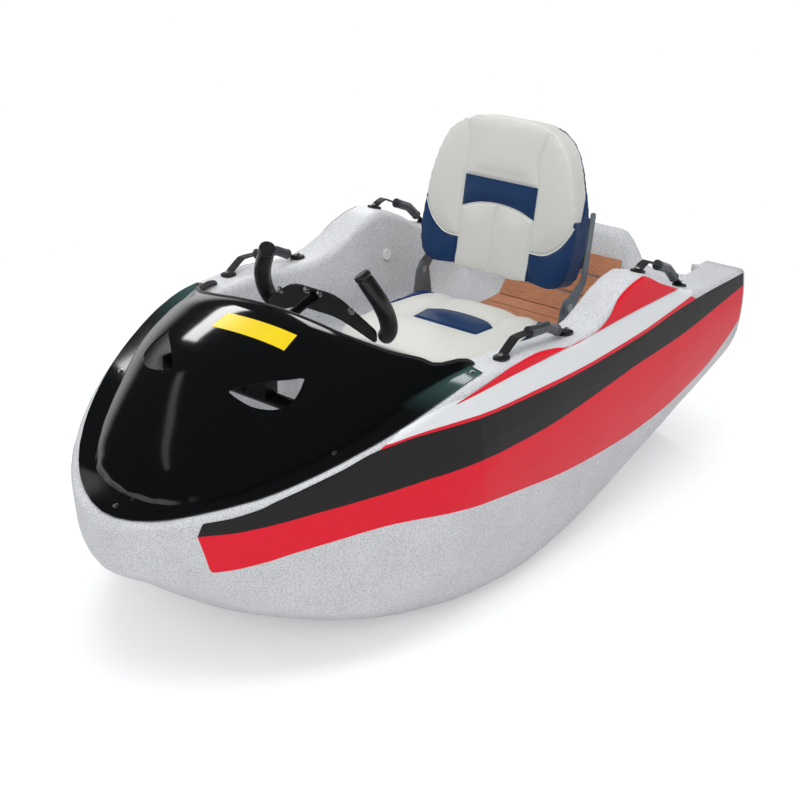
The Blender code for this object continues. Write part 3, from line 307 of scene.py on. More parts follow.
def film_strip(name, upper, lower, side, material, lift=1.0, round_bow=False, slant=0.0):
    """A strip of film between two edges, laid on the hull's flank from the side."""
    length = max(abs(edge[0][0] - edge[-1][0]) for edge in (upper, lower))
    bpy.ops.mesh.primitive_grid_add(x_subdivisions=int(length / FILM_STEP), y_subdivisions=FILM_LINES,
                                    size=1.0)
    piece = bpy.context.active_object
    piece.name = name
    for vert in piece.data.vertices:
        share = min(max(vert.co.x + 0.5, 0.0), 1.0)
        height = min(max(vert.co.y + 0.5, 0.0), 1.0)
        top = edge_place(upper, share)
        low = edge_place(lower, share)
        if round_bow and share * length < FILM_ROUND:
            cut = FILM_ROUND - math.sqrt(FILM_ROUND**2 - (FILM_ROUND - share * length)**2)
            low = low + np.array((0.0, cut)) if "red" in name else low
            top = top - np.array((0.0, cut * 0.5)) if "black" in name else top
        x, z = low + (top - low) * height
        for drop in range(12):
            start = Vector((x, side * (FLANK + FILM_REACH), z + FILM_REACH * slant - FILM_SEARCH * drop))
            hit, normal = hull_faces.ray_cast(start, Vector((0, -side, -slant)).normalized())[:2]
            if hit is not None and side * hit.y > LEAST_WIDE:
                break
        vert.co = hit + normal * FILM_OFF * lift
    bpy.ops.object.mode_set(mode="EDIT")
    bpy.ops.mesh.select_all(action="SELECT")
    bpy.ops.mesh.normals_make_consistent(inside=False)
    bpy.ops.object.mode_set(mode="OBJECT")
    if sum(face.normal.y for face in piece.data.polygons) * side < 0:
        piece.data.flip_normals()
    bpy.ops.object.shade_smooth()
    piece.data.materials.append(material)
    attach(piece, "boat")
    return piece


FILM_COLOURS = {"black": "#1C1B1B", "red": "#E8182E", "white": "#EEF0F1"}
films = {}
for word, code in FILM_COLOURS.items():
    films[word], tree, place = new_material("gloss_vinyl_film_" + word)
    bubbles = node(tree, "TexNoise", {"Vector": place}, Scale=220.0, Detail=1.0)
    waves = node(tree, "TexNoise", {"Vector": place}, Scale=14.0, Detail=2.0)
    uneven = node(tree, "Math", {0: waves, 1: bubbles}, operation="MULTIPLY_ADD", in2=0.02)
    lay = node(tree, "Bump", {"Height": uneven}, Strength=0.12, Distance=0.002)
    shader = node(tree, "BsdfPrincipled", {"Normal": lay}, Base_Color=linear(code),
                  Roughness=0.30, Specular_IOR_Level=0.25)
    node(tree, "OutputMaterial", {0: shader})

for side, word in SIDES:
    film_strip("stripe_black_" + word, BLACK_TOP, BLACK_LOW, side, films["black"], round_bow=True)
    film_strip("stripe_red_" + word, BLACK_LOW, RED_LOW, side, films["red"], round_bow=True)
    film_strip("stripe_line_" + word, LINE_TOP, BLACK_TOP[6:15], side, films["red"], lift=1.3)
    film_strip("stripe_white_" + word, WHITE_TOP, LINE_TOP, side, films["white"])
    film_strip("stripe_wedge_" + word, WEDGE_TOP, WHITE_TOP[2:8], side, films["red"], lift=2.0, slant=0.5)


# Hood: one vacuum-formed sheet of smoked polycarbonate. Its flange lies on the deck
# and is screwed down at five places; the dome keeps spray off the rider's legs.
BOW = 0.945
SMOKE = "#07090A"
# The second smoke tone is painted see-through: the lit pale hull under the thin flange, put into the sheet's
# colour
SMOKE_PAINTED_THROUGH = "#3A5452"
HOOD_WALL = 0.003
FLANGE_LIFT = 0.0006
HOOD_NOSE = BOW - 0.077
HOOD_TIP = BOW - 0.0235
DOME_POWER = 2.1
FOOT_SLOPE = 2.0
FOOT_BLEND = 8.0
HOOD_COLUMNS = 128
HOOD_LINES = 104
FLANGE_LINES = 5
WIDEST_FLANGE = 0.20
REAR_ROLL = 0.005
REAR_DIP = 0.012
TABLE_AFT = BOW - 0.716
TABLE_ROWS = 140
EVEN_REACH = 16
EVEN_WIDTH = 7.0
# Places are counted from the bow. FOOT_ROWS holds half widths of the dome's foot, REAR_ROWS
# the rear edge against y, and EYE the outline of the port opening
FOOT_ROWS = ((-0.825, 0.412), (-0.725, 0.410), (-0.615, 0.389), (-0.555, 0.373), (-0.495, 0.361),
             (-0.435, 0.349), (-0.385, 0.332), (-0.325, 0.303), (-0.275, 0.274), (-0.225, 0.245),
             (-0.169, 0.205), (-0.120, 0.153), (-0.090, 0.096), (-0.080, 0.050), (-0.077, 0.020))
REAR_ROWS = ((0.000, -0.538), (0.137, -0.539), (0.181, -0.541), (0.250, -0.559), (0.300, -0.581),
             (0.350, -0.619), (0.380, -0.645), (0.408, -0.730), (0.440, -0.737), (0.500, -0.725))
EYE = ((-0.300, 0.085), (-0.296, 0.122), (-0.298, 0.162), (-0.312, 0.198), (-0.330, 0.219),
       (-0.349, 0.228), (-0.372, 0.227), (-0.391, 0.221), (-0.403, 0.213), (-0.384, 0.190),
       (-0.352, 0.148), (-0.320, 0.108))


def smooth_line(points, steps):
    """A smooth line through points, as a list of places."""
    rows = [Vector(p) for p in points]
    return [between(rows, k, i / steps) for k in range(len(rows) - 1) for i in range(steps)] + [rows[-1]]


def curved(line, steps=8):
    """A smooth flat line through its points."""
    return [(p.x, p.y) for p in smooth_line([(a, b, 0) for a, b in line], steps)]


def inside(points, ring):
    """True where a flat point lies inside a closed ring."""
    ring = np.array(ring, float)
    found = np.zeros(len(points), bool)
    for (ax, ay), (bx, by) in zip(ring, np.roll(ring, -1, axis=0)):
        crosses = (ay > points[:, 1]) != (by > points[:, 1])
        with np.errstate(divide="ignore", invalid="ignore"):
            where = (bx - ax) * (points[:, 1] - ay) / (by - ay) + ax
        found ^= crosses & (points[:, 0] < where)
    return found


def smooth_rows(rows, place):
    """A value on a smooth line through rows of place and value."""
    points = np.array(rows, float)
    if points[0, 0] > points[-1, 0]:
        points = points[::-1]
    place = np.clip(place, points[0, 0], points[-1, 0])
    k = int(np.clip(np.searchsorted(points[:, 0], place) - 1, 0, len(points) - 2))
    slopes = np.gradient(points[:, 1], points[:, 0])
    wide = points[k + 1, 0] - points[k, 0]
    t = (place - points[k, 0]) / wide
    return ((2 * t**3 - 3 * t**2 + 1) * points[k, 1] + (t**3 - 2 * t**2 + t) * wide * slopes[k]
            + (3 * t**2 - 2 * t**3) * points[k + 1, 1] + (t**3 - t**2) * wide * slopes[k + 1])


def change(piece, kind, **settings):
    """Add a modifier with its settings and apply it."""
    added = piece.modifiers.new(kind.lower(), kind)
    for key, value in settings.items():
        setattr(added, key, value)
    bpy.context.view_layer.objects.active = piece
    bpy.ops.object.modifier_apply(modifier=added.name)


def straight_down(faces, x, y):
    """Where a ray that falls from above the kart meets the faces, and the normal there."""
    return faces.ray_cast(Vector((x, y, 1.2)), Vector((0, 0, -1)))[:2]


sheet_faces = tree_of(frame["nodes"]["hood"])


def sheet_top(x, y):
    """Height of the CAD hood under a place, or nothing."""
    hit, normal = straight_down(sheet_faces, x, y)
    return None if hit is None or normal.z < 0.2 else hit.z


# The heights of the flange's edge and of the dome's crown, read off the CAD piece row by row
SEARCH_FROM = 0.480
SEARCH_STEP = 0.0008
EDGE_IN = 0.003
table_x = np.linspace(TABLE_AFT, HOOD_TIP - 0.0015, TABLE_ROWS)
inward = np.arange(SEARCH_FROM, 0.0, -SEARCH_STEP)
edge_z, crown_z = [], []
for x in table_x:
    reach = next((y for y in inward if sheet_top(x, y) is not None), EDGE_IN)
    edge_z.append(sheet_top(x, max(reach - EDGE_IN, 0.0)) or edge_z[-1])
    crown_z.append(sheet_top(x, 0.0) or np.nan)
edge_z, crown_z = np.array(edge_z, float), np.array(crown_z, float)
first_crown = np.where(~np.isnan(crown_z))[0][0]
crown_z[:first_crown] = crown_z[first_crown] - REAR_DIP
bell = np.exp(-(np.arange(-EVEN_REACH, EVEN_REACH + 1) / EVEN_WIDTH) ** 2)
for row in (edge_z, crown_z):
    ends = np.arange(1, EVEN_REACH + 1)
    wide = np.concatenate([2 * row[0] - row[ends[::-1]], row, 2 * row[-1] - row[-1 - ends]])
    row[:] = np.convolve(wide, bell / bell.sum(), mode="valid")
edge_z += FLANGE_LIFT


def hood_height(x, y):
    """Height of the sheet's outer face over a place."""
    deck = float(np.interp(x, table_x, edge_z))
    foot = smooth_rows(FOOT_ROWS, x - BOW)
    if x >= HOOD_NOSE or abs(y) >= foot:
        return deck
    rise = float(np.interp(x, table_x, crown_z)) - deck
    dome = rise * max(1e-9, 1 - (abs(y) / foot) ** DOME_POWER) ** (1 / DOME_POWER)
    lean = (smooth_rows(FOOT_ROWS, x + 0.004 - BOW) - smooth_rows(FOOT_ROWS, x - 0.004 - BOW)) / 0.008
    climb = FOOT_SLOPE * (foot - abs(y)) / math.hypot(1, lean) + 1e-6
    return deck + (dome ** -FOOT_BLEND + climb ** -FOOT_BLEND) ** (-1 / FOOT_BLEND) if rise > 1e-4 else deck


def foot_half(x):
    """Half width of the dome's foot."""
    return float(smooth_rows(FOOT_ROWS, min(x, HOOD_NOSE) - BOW))


def hood_rear_x(share):
    """Where the line that runs at a share of the foot's half width meets the sheet's rear edge."""
    x = BOW - 0.6
    for again in range(12):
        x = BOW + smooth_rows(REAR_ROWS, abs(share * foot_half(x)))
    return x - REAR_ROLL


def nearest_on(rings, here):
    """The place on closed rings that is nearest to a flat place."""
    near = []
    for ring in rings:
        line = np.array(ring)
        along = np.roll(line, -1, axis=0) - line
        size = np.maximum((along**2).sum(axis=1), 1e-12)
        t = np.clip(((here - line) * along).sum(axis=1) / size, 0, 1)
        near.append(line + t[:, None] * along)
    near = np.concatenate(near)
    return near[np.argmin(np.linalg.norm(near - here, axis=1))]


def flange_reach(x, y, turn):
    """How far the CAD sheet goes on from a place in a direction, found by halving."""
    low, high = 0.0008, WIDEST_FLANGE
    for again in range(14):
        middle = (low + high) / 2
        if sheet_top(x + middle * math.cos(turn), y + middle * math.sin(turn)) is None:
            high = middle
        else:
            low = middle
    return low


shares = [math.sin(math.pi / 2 * (2 * i / HOOD_COLUMNS - 1)) for i in range(HOOD_COLUMNS + 1)]
spread = [1 - (1 - j / HOOD_LINES) ** 1.5 for j in range(HOOD_LINES + 1)]
places = []
for share in shares:
    rear = hood_rear_x(share)
    column = [rear + (HOOD_NOSE - rear) * t for t in spread]
    places.append([(x, share * foot_half(x)) for x in column])
eye_rings = [[(BOW + x, side * y) for x, y in curved(EYE + EYE[:1], 6)] for side in (1, -1)]

bpy.ops.mesh.primitive_grid_add(x_subdivisions=HOOD_COLUMNS, y_subdivisions=HOOD_LINES, size=1.0)
hood = bpy.context.active_object
hood.name = "hood_sheet"
for vert in hood.data.vertices:
    i = int(round((vert.co.x + 0.5) * HOOD_COLUMNS))
    j = int(round((vert.co.y + 0.5) * HOOD_LINES))
    x, y = places[i][j]
    vert.co = (x, y, hood_height(x, y) if abs(y) < foot_half(x) - 1e-6 else hood_height(x, 0.5))
bm = bmesh.new()
bm.from_mesh(hood.data)
middles = np.array([face.calc_center_median()[:2] for face in bm.faces])
gone = inside(middles, eye_rings[0]) | inside(middles, eye_rings[1])
cut_faces = [face for face, cut in zip(bm.faces[:], gone) if cut]
lip = {vert for face in cut_faces for vert in face.verts}
bmesh.ops.delete(bm, geom=cut_faces, context="FACES_ONLY")
bmesh.ops.delete(bm, geom=[e for e in bm.edges if not e.link_faces], context="EDGES")
# The holes' edges move onto their smooth outlines
for vert in lip:
    if vert.is_valid and vert.link_faces:
        x, y = nearest_on(eye_rings, np.array(vert.co[:2]))
        vert.co = (x, y, hood_height(x, y))
# The flange: a strip of quads from the foot's ring out to the sheet's edge. Round the
# nose its rows fan out from one place; along the sides they run square to the boat
FAN_CENTRE = BOW - 0.30
SIDE_LEAN = 0.10
rim = [(places[0][j], "starboard") for j in range(HOOD_LINES + 1)]
rim += [(places[i][HOOD_LINES], "nose") for i in range(1, HOOD_COLUMNS)]
rim += [(places[HOOD_COLUMNS][j], "port") for j in range(HOOD_LINES, -1, -1)]
first = places[0][0][0]
rings = []
for (x, y), part in rim:
    turn = math.atan2(y, x - FAN_CENTRE)
    if part != "nose" and x < FAN_CENTRE:
        lean = -SIDE_LEAN * (FAN_CENTRE - x) / (FAN_CENTRE - first)
        turn = math.atan2(-1.0 if part == "starboard" else 1.0, lean)
    steps = np.linspace(0, flange_reach(x, y, turn), FLANGE_LINES + 1)
    rings.append([(x + step * math.cos(turn), y + step * math.sin(turn)) for step in steps])
grid = [[bm.verts.new((x, y, hood_height(x, 0.5))) for x, y in ring] for ring in rings]
for a, b in zip(grid, grid[1:]):
    for j in range(FLANGE_LINES):
        bm.faces.new((a[j], b[j], b[j + 1], a[j + 1]))
bmesh.ops.remove_doubles(bm, verts=bm.verts, dist=0.0004)
bmesh.ops.delete(bm, geom=[v for v in bm.verts if not v.link_faces], context="VERTS")
bmesh.ops.recalc_face_normals(bm, faces=bm.faces)
bm.to_mesh(hood.data)
bm.free()
if sum(face.normal.z for face in hood.data.polygons) < 0:
    hood.data.flip_normals()
# The flange is painted lighter towards its rear end, where the hull shows through it: a painted see-through
# tone that stands for the lit hull under the smoked sheet
PAINTED_THROUGH_FROM = 0.42
PAINTED_THROUGH_FADE = 0.16
clear = np.zeros(len(hood.data.vertices))
for vert in hood.data.vertices:
    off = min(max((abs(vert.co.y) - foot_half(vert.co.x)) / 0.004, 0.0), 1.0)
    clear[vert.index] = off * min(max((PAINTED_THROUGH_FROM - vert.co.x) / PAINTED_THROUGH_FADE, 0.0), 1.0)
mark = hood.data.attributes.new("clear_flange", "FLOAT", "POINT")
mark.data.foreach_set("value", clear.astype(np.float32))
change(hood, "SOLIDIFY", thickness=HOOD_WALL, offset=-1.0)
bpy.ops.object.shade_smooth_by_angle(angle=math.radians(38))

smoked, tree, place = new_material("smoked_polycarbonate_sheet")
# This mark lightens the rear flange towards teal: painted see-through of the lit hull below
painted_through_mask = node(tree, "Attribute", attribute_name="clear_flange")
draw_lines = node(tree, "TexNoise", {"Vector": place}, Scale=5.0, Detail=1.0)
sheet_wave = node(tree, "Bump", {"Height": draw_lines}, Strength=0.08, Distance=0.004)
tone = node(tree, "MixRGB", {0: painted_through_mask.outputs["Fac"]}, in1=linear(SMOKE), in2=linear(SMOKE_PAINTED_THROUGH))
shader = node(tree, "BsdfPrincipled", {"Normal": sheet_wave, "Base Color": tone}, Roughness=0.085,
              IOR=1.58)
node(tree, "OutputMaterial", {0: shader})
hood.data.materials.append(smoked)
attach(hood, "boat")
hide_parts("hood")
hood_faces = tree_of(hood)


def rubber(name, code, grain_mm, roughness):
    """Moulded black rubber or nylon: a fine matt grain and a little dust in it."""
    material, tree, place = new_material(name)
    grain = node(tree, "TexNoise", {"Vector": place}, Scale=1000 / grain_mm / CELLS_A_GRAIN, Detail=2.0)
    dust = node(tree, "TexNoise", {"Vector": place}, Scale=30.0, Detail=4.0)
    tones = [[share * c for c in linear(code)[:3]] + [1.0] for share in (0.8, 1.5)]
    tone = node(tree, "ValToRGB", {"Fac": dust}, colours=tones)
    skin = node(tree, "Bump", {"Height": grain}, Strength=0.3, Distance=0.0003)
    rough = node(tree, "MapRange", {"Value": dust}, in3=roughness - 0.08, in4=roughness + 0.08)
    shader = node(tree, "BsdfPrincipled", {"Base Color": tone, "Normal": skin, "Roughness": rough})
    node(tree, "OutputMaterial", {0: shader})
    return material


edge_rubber = rubber("extruded_edge_rubber", "#1B1C1E", 1.2, 0.42)


def swept(name, places, profile, sides, material, body):
    """A round bar along a line, its radius from profile(share); closed at both ends."""
    bpy.ops.mesh.primitive_cylinder_add(vertices=sides, radius=1.0, depth=1.0, end_fill_type="TRIFAN")
    piece = bpy.context.active_object
    piece.name = name
    bpy.ops.object.mode_set(mode="EDIT")
    bm = bmesh.from_edit_mesh(piece.data)
    upright = [edge for edge in bm.edges if abs(edge.verts[0].co.z - edge.verts[1].co.z) > 0.5]
    bmesh.ops.subdivide_edges(bm, edges=upright, cuts=len(places) - 2)
    bmesh.update_edit_mesh(piece.data)
    bpy.ops.object.mode_set(mode="OBJECT")
    last = len(places) - 1
    for vert in piece.data.vertices:
        k = int(round((vert.co.z + 0.5) * last))
        ahead = places[min(k + 1, last)] - places[max(k - 1, 0)]
        turn = ahead.normalized().to_track_quat("Z", "Y").to_matrix()
        vert.co = places[k] + turn @ Vector((vert.co.x, vert.co.y, 0.0)) * profile(k / last)
    bpy.ops.object.mode_set(mode="EDIT")
    bpy.ops.mesh.select_all(action="SELECT")
    bpy.ops.mesh.remove_doubles(threshold=0.000005)
    bpy.ops.mesh.normals_make_consistent(inside=False)
    bpy.ops.object.mode_set(mode="OBJECT")
    bpy.ops.object.shade_smooth_by_angle(angle=math.radians(50))
    piece.data.materials.append(material)
    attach(piece, body)
    return piece


EDGE_RADIUS = 0.0048
edge_line = []
for column in places[1:-1:2]:
    x, y = column[0]
    edge_line.append(Vector((x - 0.001, y, hood_height(x, y) - HOOD_WALL / 2)))
hood_edge = swept("hood_rubber_edge", edge_line, lambda share: EDGE_RADIUS, 12, edge_rubber, "boat")
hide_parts("hood_edge_trim")


# Blank label: a yellow vinyl sticker laid on the dome, left without print. Its
# yellow is a little uneven, as weather leaves it.
LABEL_CORNERS = ((0.463, 0.122), (0.512, 0.129), (0.517, -0.093), (0.467, -0.090))
LABEL_YELLOW = "#F2D500"
LABEL_OFF = 0.0005

bpy.ops.mesh.primitive_grid_add(x_subdivisions=12, y_subdivisions=40, size=1.0)
label = bpy.context.active_object
label.name = "blank_yellow_label"
for vert in label.data.vertices:
    a, b = vert.co.x + 0.5, vert.co.y + 0.5
    aft = Vector(LABEL_CORNERS[3]).lerp(Vector(LABEL_CORNERS[0]), b)
    fore = Vector(LABEL_CORNERS[2]).lerp(Vector(LABEL_CORNERS[1]), b)
    x, y = aft.lerp(fore, a)
    hit, normal = straight_down(hood_faces, x, y)
    vert.co = hit + normal * LABEL_OFF
bpy.ops.object.shade_smooth()
yellow, tree, place = new_material("printed_vinyl_label_yellow")
fade = node(tree, "TexNoise", {"Vector": place}, Scale=40.0, Detail=3.0)
tone = node(tree, "ValToRGB", {"Fac": fade}, colours=(linear("#E8C900"), linear(LABEL_YELLOW)))
shader = node(tree, "BsdfPrincipled", {"Base Color": tone}, Roughness=0.3)
node(tree, "OutputMaterial", {0: shader})
label.data.materials.append(yellow)
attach(label, "boat")


# Screws: stainless pan heads on washers. One is modelled, and copied to the hood's
# flange, the yoke, the seat's arms, the handle pads and the transom.
WASHER_RADIUS = 0.0065
SCREW_HEAD = 0.0046


def bare_metal(name, code, marks_a_metre, smoothest, roughest, metallic=1.0):
    """Metal whose roughness varies finely, as turning, drawing or plating leaves it."""
    material, tree, place = new_material(name)
    marks = node(tree, "TexNoise", {"Vector": place}, Scale=marks_a_metre, Detail=2.0)
    rough = node(tree, "MapRange", {"Value": marks}, in3=smoothest, in4=roughest)
    shader = node(tree, "BsdfPrincipled", {"Roughness": rough}, Base_Color=linear(code), Metallic=metallic)
    node(tree, "OutputMaterial", {0: shader})
    return material


def pick_top(piece):
    """Enter edit mode with only the faces that look up selected."""
    bpy.ops.object.mode_set(mode="EDIT")
    bm = bmesh.from_edit_mesh(piece.data)
    for face in bm.faces:
        face.select = face.normal.z > 0.9
    bmesh.update_edit_mesh(piece.data)


brushed = bare_metal("stainless_steel_turned", "#C9CACB", 400.0, 0.18, 0.34)
bpy.ops.mesh.primitive_cylinder_add(vertices=24, radius=WASHER_RADIUS, depth=0.0012,
                                    location=(0, 0, 0.0004))
pattern_screw = bpy.context.active_object
pick_top(pattern_screw)
bpy.ops.mesh.inset(thickness=WASHER_RADIUS - SCREW_HEAD, depth=0.0)
bpy.ops.mesh.extrude_region_move(TRANSFORM_OT_translate={"value": (0, 0, 0.0022)})
bpy.ops.mesh.inset(thickness=0.0012, depth=0.0008)
bpy.ops.mesh.inset(thickness=0.0013, depth=0.0)
bpy.ops.mesh.extrude_region_move(TRANSFORM_OT_translate={"value": (0, 0, -0.0016)})
bpy.ops.object.mode_set(mode="OBJECT")
bpy.ops.object.transform_apply()
screw_mesh = pattern_screw.data
screw_mesh.materials.append(brushed)
bpy.data.objects.remove(pattern_screw, do_unlink=True)


def put_screw(name, spot, normal, body, size=1.0):
    """A screw with its washer flat on a surface."""
    turn = Vector(normal).to_track_quat("Z", "Y").to_matrix().to_4x4()
    mesh = screw_mesh.copy()
    mesh.transform(Matrix.Translation(spot) @ turn @ Matrix.Scale(size, 4))
    screw = bpy.data.objects.new(name, mesh)
    bpy.context.scene.collection.objects.link(screw)
    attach(screw, body)


HOOD_SCREWS = ((0.899, 0.0), (0.588, 0.339), (0.588, -0.339), (0.243, 0.437), (0.243, -0.437))
for i, (x, y) in enumerate(HOOD_SCREWS):
    hit, normal = straight_down(hood_faces, x, y)
    put_screw("hood_screw_%d" % i, hit, normal, "boat")


# Steering: a black powder-coated plate yoke on a steel column, with two moulded
# rubber grips whose flat caps face the rider's thumbs.
def hard_skin(name, code, peel_a_metre, strength, roughness):
    """One even colour under a fine orange peel: powder coat, or a moulded cap."""
    material, tree, place = new_material(name)
    peel = node(tree, "TexNoise", {"Vector": place}, Scale=peel_a_metre, Detail=2.0)
    skin = node(tree, "Bump", {"Height": peel}, Strength=strength, Distance=0.0003)
    shader = node(tree, "BsdfPrincipled", {"Normal": skin}, Base_Color=linear(code), Roughness=roughness)
    node(tree, "OutputMaterial", {0: shader})
    return material


def finish_nodes(material, names):
    """Give a material to CAD nodes that keep their CAD shape."""
    for name in names:
        frame["nodes"][name].data.materials.clear()
        frame["nodes"][name].data.materials.append(material)


coat = hard_skin("black_powder_coat_steel", "#161618", 380.0, 0.3, 0.34)
dark_steel = bare_metal("blackened_stainless_shaft", "#3B3D40", 260.0, 0.26, 0.42)
nylon = rubber("moulded_black_nylon", "#17181A", 0.9, 0.45)
grip_rubber = rubber("moulded_grip_rubber", "#141416", 1.0, 0.30)
finish_nodes(coat, ("steering_yoke", "dash_beam", "transom_bracket", "thruster_leg"))
finish_nodes(dark_steel, ("steering_shaft",))
finish_nodes(nylon, ("column_housing", "seat_base", "propeller", "propeller_guard"))

GRIP_RADIUS = 0.0208
CAP_SINK = 0.0019
# The yoke's centre and the slope of its column, and the grip's line in the yoke's plane
YOKE_CENTRE = Vector((0.270, 0.0, 0.690))
SLOPE = math.radians(17.0)
COLUMN = Vector((math.cos(SLOPE), 0.0, -math.sin(SLOPE)))
YOKE_UP = Vector((math.sin(SLOPE), 0.0, math.cos(SLOPE)))
GRIP_LINE = ((0.148, 0.080), (0.166, 0.050), (0.186, 0.014), (0.196, -0.024), (0.192, -0.060),
             (0.172, -0.086))


def grip_profile(share):
    """A grip swells in the palm, has a bead under its cap, and rounds off at its low end."""
    radius = GRIP_RADIUS * (0.94 + 0.06 * math.sin(math.pi * share))
    if share < 0.055:
        radius = GRIP_RADIUS * (0.985 if share > 0.012 else 0.93)
    if 0.055 <= share < 0.085:
        radius = GRIP_RADIUS * 0.90
    if share > 0.93:
        radius *= math.sqrt(max(1 - ((share - 0.93) / 0.073)**2, 0.02))
    return radius


for side, word in SIDES:
    line = [YOKE_CENTRE + Vector((0, side * y, 0)) + YOKE_UP * up + COLUMN * (-GRIP_RADIUS + 0.0022)
            for y, up in GRIP_LINE]
    line = smooth_line(line, 12)
    grip = swept("grip_rubber_" + word, line, grip_profile, 32, grip_rubber, "steering")
    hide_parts("steering_grip_" + word)
    way = (line[0] - line[2]).normalized()
    bpy.ops.mesh.primitive_cylinder_add(vertices=40, radius=GRIP_RADIUS * 0.93, depth=0.004)
    cap = bpy.context.active_object
    cap.name = "grip_cap_" + word
    pick_top(cap)
    bpy.ops.mesh.inset(thickness=0.0022, depth=0.0008)
    bpy.ops.mesh.inset(thickness=0.0012, depth=-0.0010)
    bpy.ops.object.mode_set(mode="OBJECT")
    turn = way.to_track_quat("Z", "Y").to_matrix().to_4x4()
    cap.data.transform(Matrix.Translation(line[0] + way * CAP_SINK) @ turn)
    cap.matrix_world = Matrix.Identity(4)
    bpy.ops.object.shade_smooth_by_angle(angle=math.radians(35))
    cap.data.materials.append(edge_rubber)
    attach(cap, "steering")
yoke_faces = tree_of(frame["nodes"]["steering_yoke"])
YOKE_NUTS = ((0.112, -0.012), (-0.112, -0.012), (0.020, 0.012), (-0.020, 0.012))
YOKE_BOLTS = ((0.10, -0.022), (-0.10, -0.022), (0.030, 0.000), (-0.030, 0.000))
for i, (y, up) in enumerate(YOKE_NUTS):
    spot = YOKE_CENTRE + Vector((0, y, 0)) + YOKE_UP * up
    hit, normal = yoke_faces.ray_cast(spot + COLUMN * 0.1, -COLUMN)[:2]
    if hit is not None and normal.dot(COLUMN) > 0.9:
        put_screw("yoke_nut_%d" % i, hit, normal, "steering", size=1.5)
for i, (y, up) in enumerate(YOKE_BOLTS):
    spot = YOKE_CENTRE + Vector((0, y, 0)) + YOKE_UP * up
    put_screw("yoke_bolt_%d" % i, spot, -COLUMN, "steering", size=1.25)


# Folding seat: foam moulded round a plastic pan and covered in sewn marine vinyl,
# pale grey panels with blue ones let in, and piping over the joins.
VINYL_PALE = "#DADAD4"
VINYL_BLUE = "#083664"
PORE_MM = 1.4
VOXEL = 0.0055
SHRINK = 0.004
BULGE = 0.0035
EVEN_BULGE = 12
EVEN_FILL = 40
CLOTH_FRAMES = 20

vinyl, tree, place = new_material("marine_vinyl_two_colour")
panel = node(tree, "Attribute", attribute_name="blue_panel")
edge = node(tree, "MapRange", {"Value": panel.outputs["Fac"]}, in1=-0.0006, in2=0.0006)
pores = node(tree, "TexVoronoi", {"Vector": place}, Scale=1000 / PORE_MM)
wear = node(tree, "TexNoise", {"Vector": place}, Scale=11.0, Detail=4.0)
pale_tone = node(tree, "ValToRGB", {"Fac": wear}, colours=(linear("#D2D2CB"), linear(VINYL_PALE)))
blue_tone = node(tree, "ValToRGB", {"Fac": wear}, colours=(linear("#052850"), linear(VINYL_BLUE)))
colour = node(tree, "MixRGB", {0: edge, 1: pale_tone, 2: blue_tone})
leather = node(tree, "Bump", {"Height": pores}, Strength=0.22, Distance=0.0004)
creases = node(tree, "TexNoise", {"Vector": place}, Scale=26.0, Detail=3.0)
soft = node(tree, "Bump", {"Height": creases, "Normal": leather}, Strength=0.12, Distance=0.003)
rough = node(tree, "MapRange", {"Value": wear}, in3=0.36, in4=0.50)
shader = node(tree, "BsdfPrincipled", {"Base Color": colour, "Normal": soft, "Roughness": rough},
              Specular_IOR_Level=0.35)
node(tree, "OutputMaterial", {0: shader})


def every(piece, kind):
    """The co or the normal of every vertex, as rows."""
    return np.array([getattr(vert, kind)[:] for vert in piece.data.vertices])


def even_out(piece, values, times):
    """A value at every vertex, averaged with its neighbours again and again."""
    links = np.array([edge.vertices[:] for edge in piece.data.edges])
    near = np.maximum(np.bincount(links.ravel(), minlength=len(values)), 1)
    for again in range(times):
        total = np.bincount(links[:, 0], values[links[:, 1]], len(values))
        total += np.bincount(links[:, 1], values[links[:, 0]], len(values))
        values = 0.4 * values + 0.6 * total / near
    return values


def stuffed(source, name, body, held):
    """A cushion from its CAD block: remeshed, blown up as cloth, its moves capped, then subdivided.

    held(place) is true where the foam is fixed to its pan and can't move."""
    piece = smooth_copy(source, name, 60.0, body)
    low, high = (Vector(corner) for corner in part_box(source))
    middle = (low + high) / 2
    reach = [max(abs(size) / 2, 0.02) for size in (high - low)]
    for vert in piece.data.vertices:
        vert.co = middle + Vector([a * (1 - SHRINK / r) for a, r in zip(vert.co - middle, reach)])
    change(piece, "REMESH", mode="VOXEL", voxel_size=VOXEL)
    change(piece, "SMOOTH", factor=0.5, iterations=5)
    start = every(piece, "co")
    fixed = piece.vertex_groups.new(name="fixed")
    fixed.add([i for i, vert in enumerate(piece.data.vertices) if held(vert.co)], 1.0, "REPLACE")
    cloth = piece.modifiers.new("filling", "CLOTH")
    cloth.settings.use_pressure = True
    cloth.settings.uniform_pressure_force = 4.0
    cloth.settings.effector_weights.gravity = 0.0
    cloth.settings.vertex_group_mass = "fixed"
    cloth.settings.quality = 4
    cloth.point_cache.frame_end = CLOTH_FRAMES
    for step in range(1, CLOTH_FRAMES + 1):
        bpy.context.scene.frame_set(step)
    moved = every(piece.evaluated_get(bpy.context.evaluated_depsgraph_get()), "co") - start
    outward = every(piece, "normal")
    bulge = even_out(piece, np.clip((moved * outward).sum(axis=1), -0.001, BULGE), EVEN_BULGE)
    piece.modifiers.remove(cloth)
    bpy.context.scene.frame_set(1)
    for vert, place in zip(piece.data.vertices, start + outward * bulge[:, None]):
        vert.co = place
    change(piece, "SUBSURF", levels=1, render_levels=1)
    bpy.ops.object.shade_smooth()
    piece.data.materials.clear()
    piece.data.materials.append(vinyl)
    return piece


def from_line(points, line):
    """Distance of each flat point from a line of points."""
    line = np.array(line, float)
    best = np.full(len(points), 1e9)
    for a, b in zip(line, line[1:]):
        along = b - a
        t = np.clip(((points - a) @ along) / max(along @ along, 1e-12), 0, 1)
        best = np.minimum(best, np.linalg.norm(points - a - t[:, None] * along, axis=1))
    return best


def both(line):
    """A line and its mirror image across the seat's middle."""
    return [line, [(-a, b) for a, b in line]]


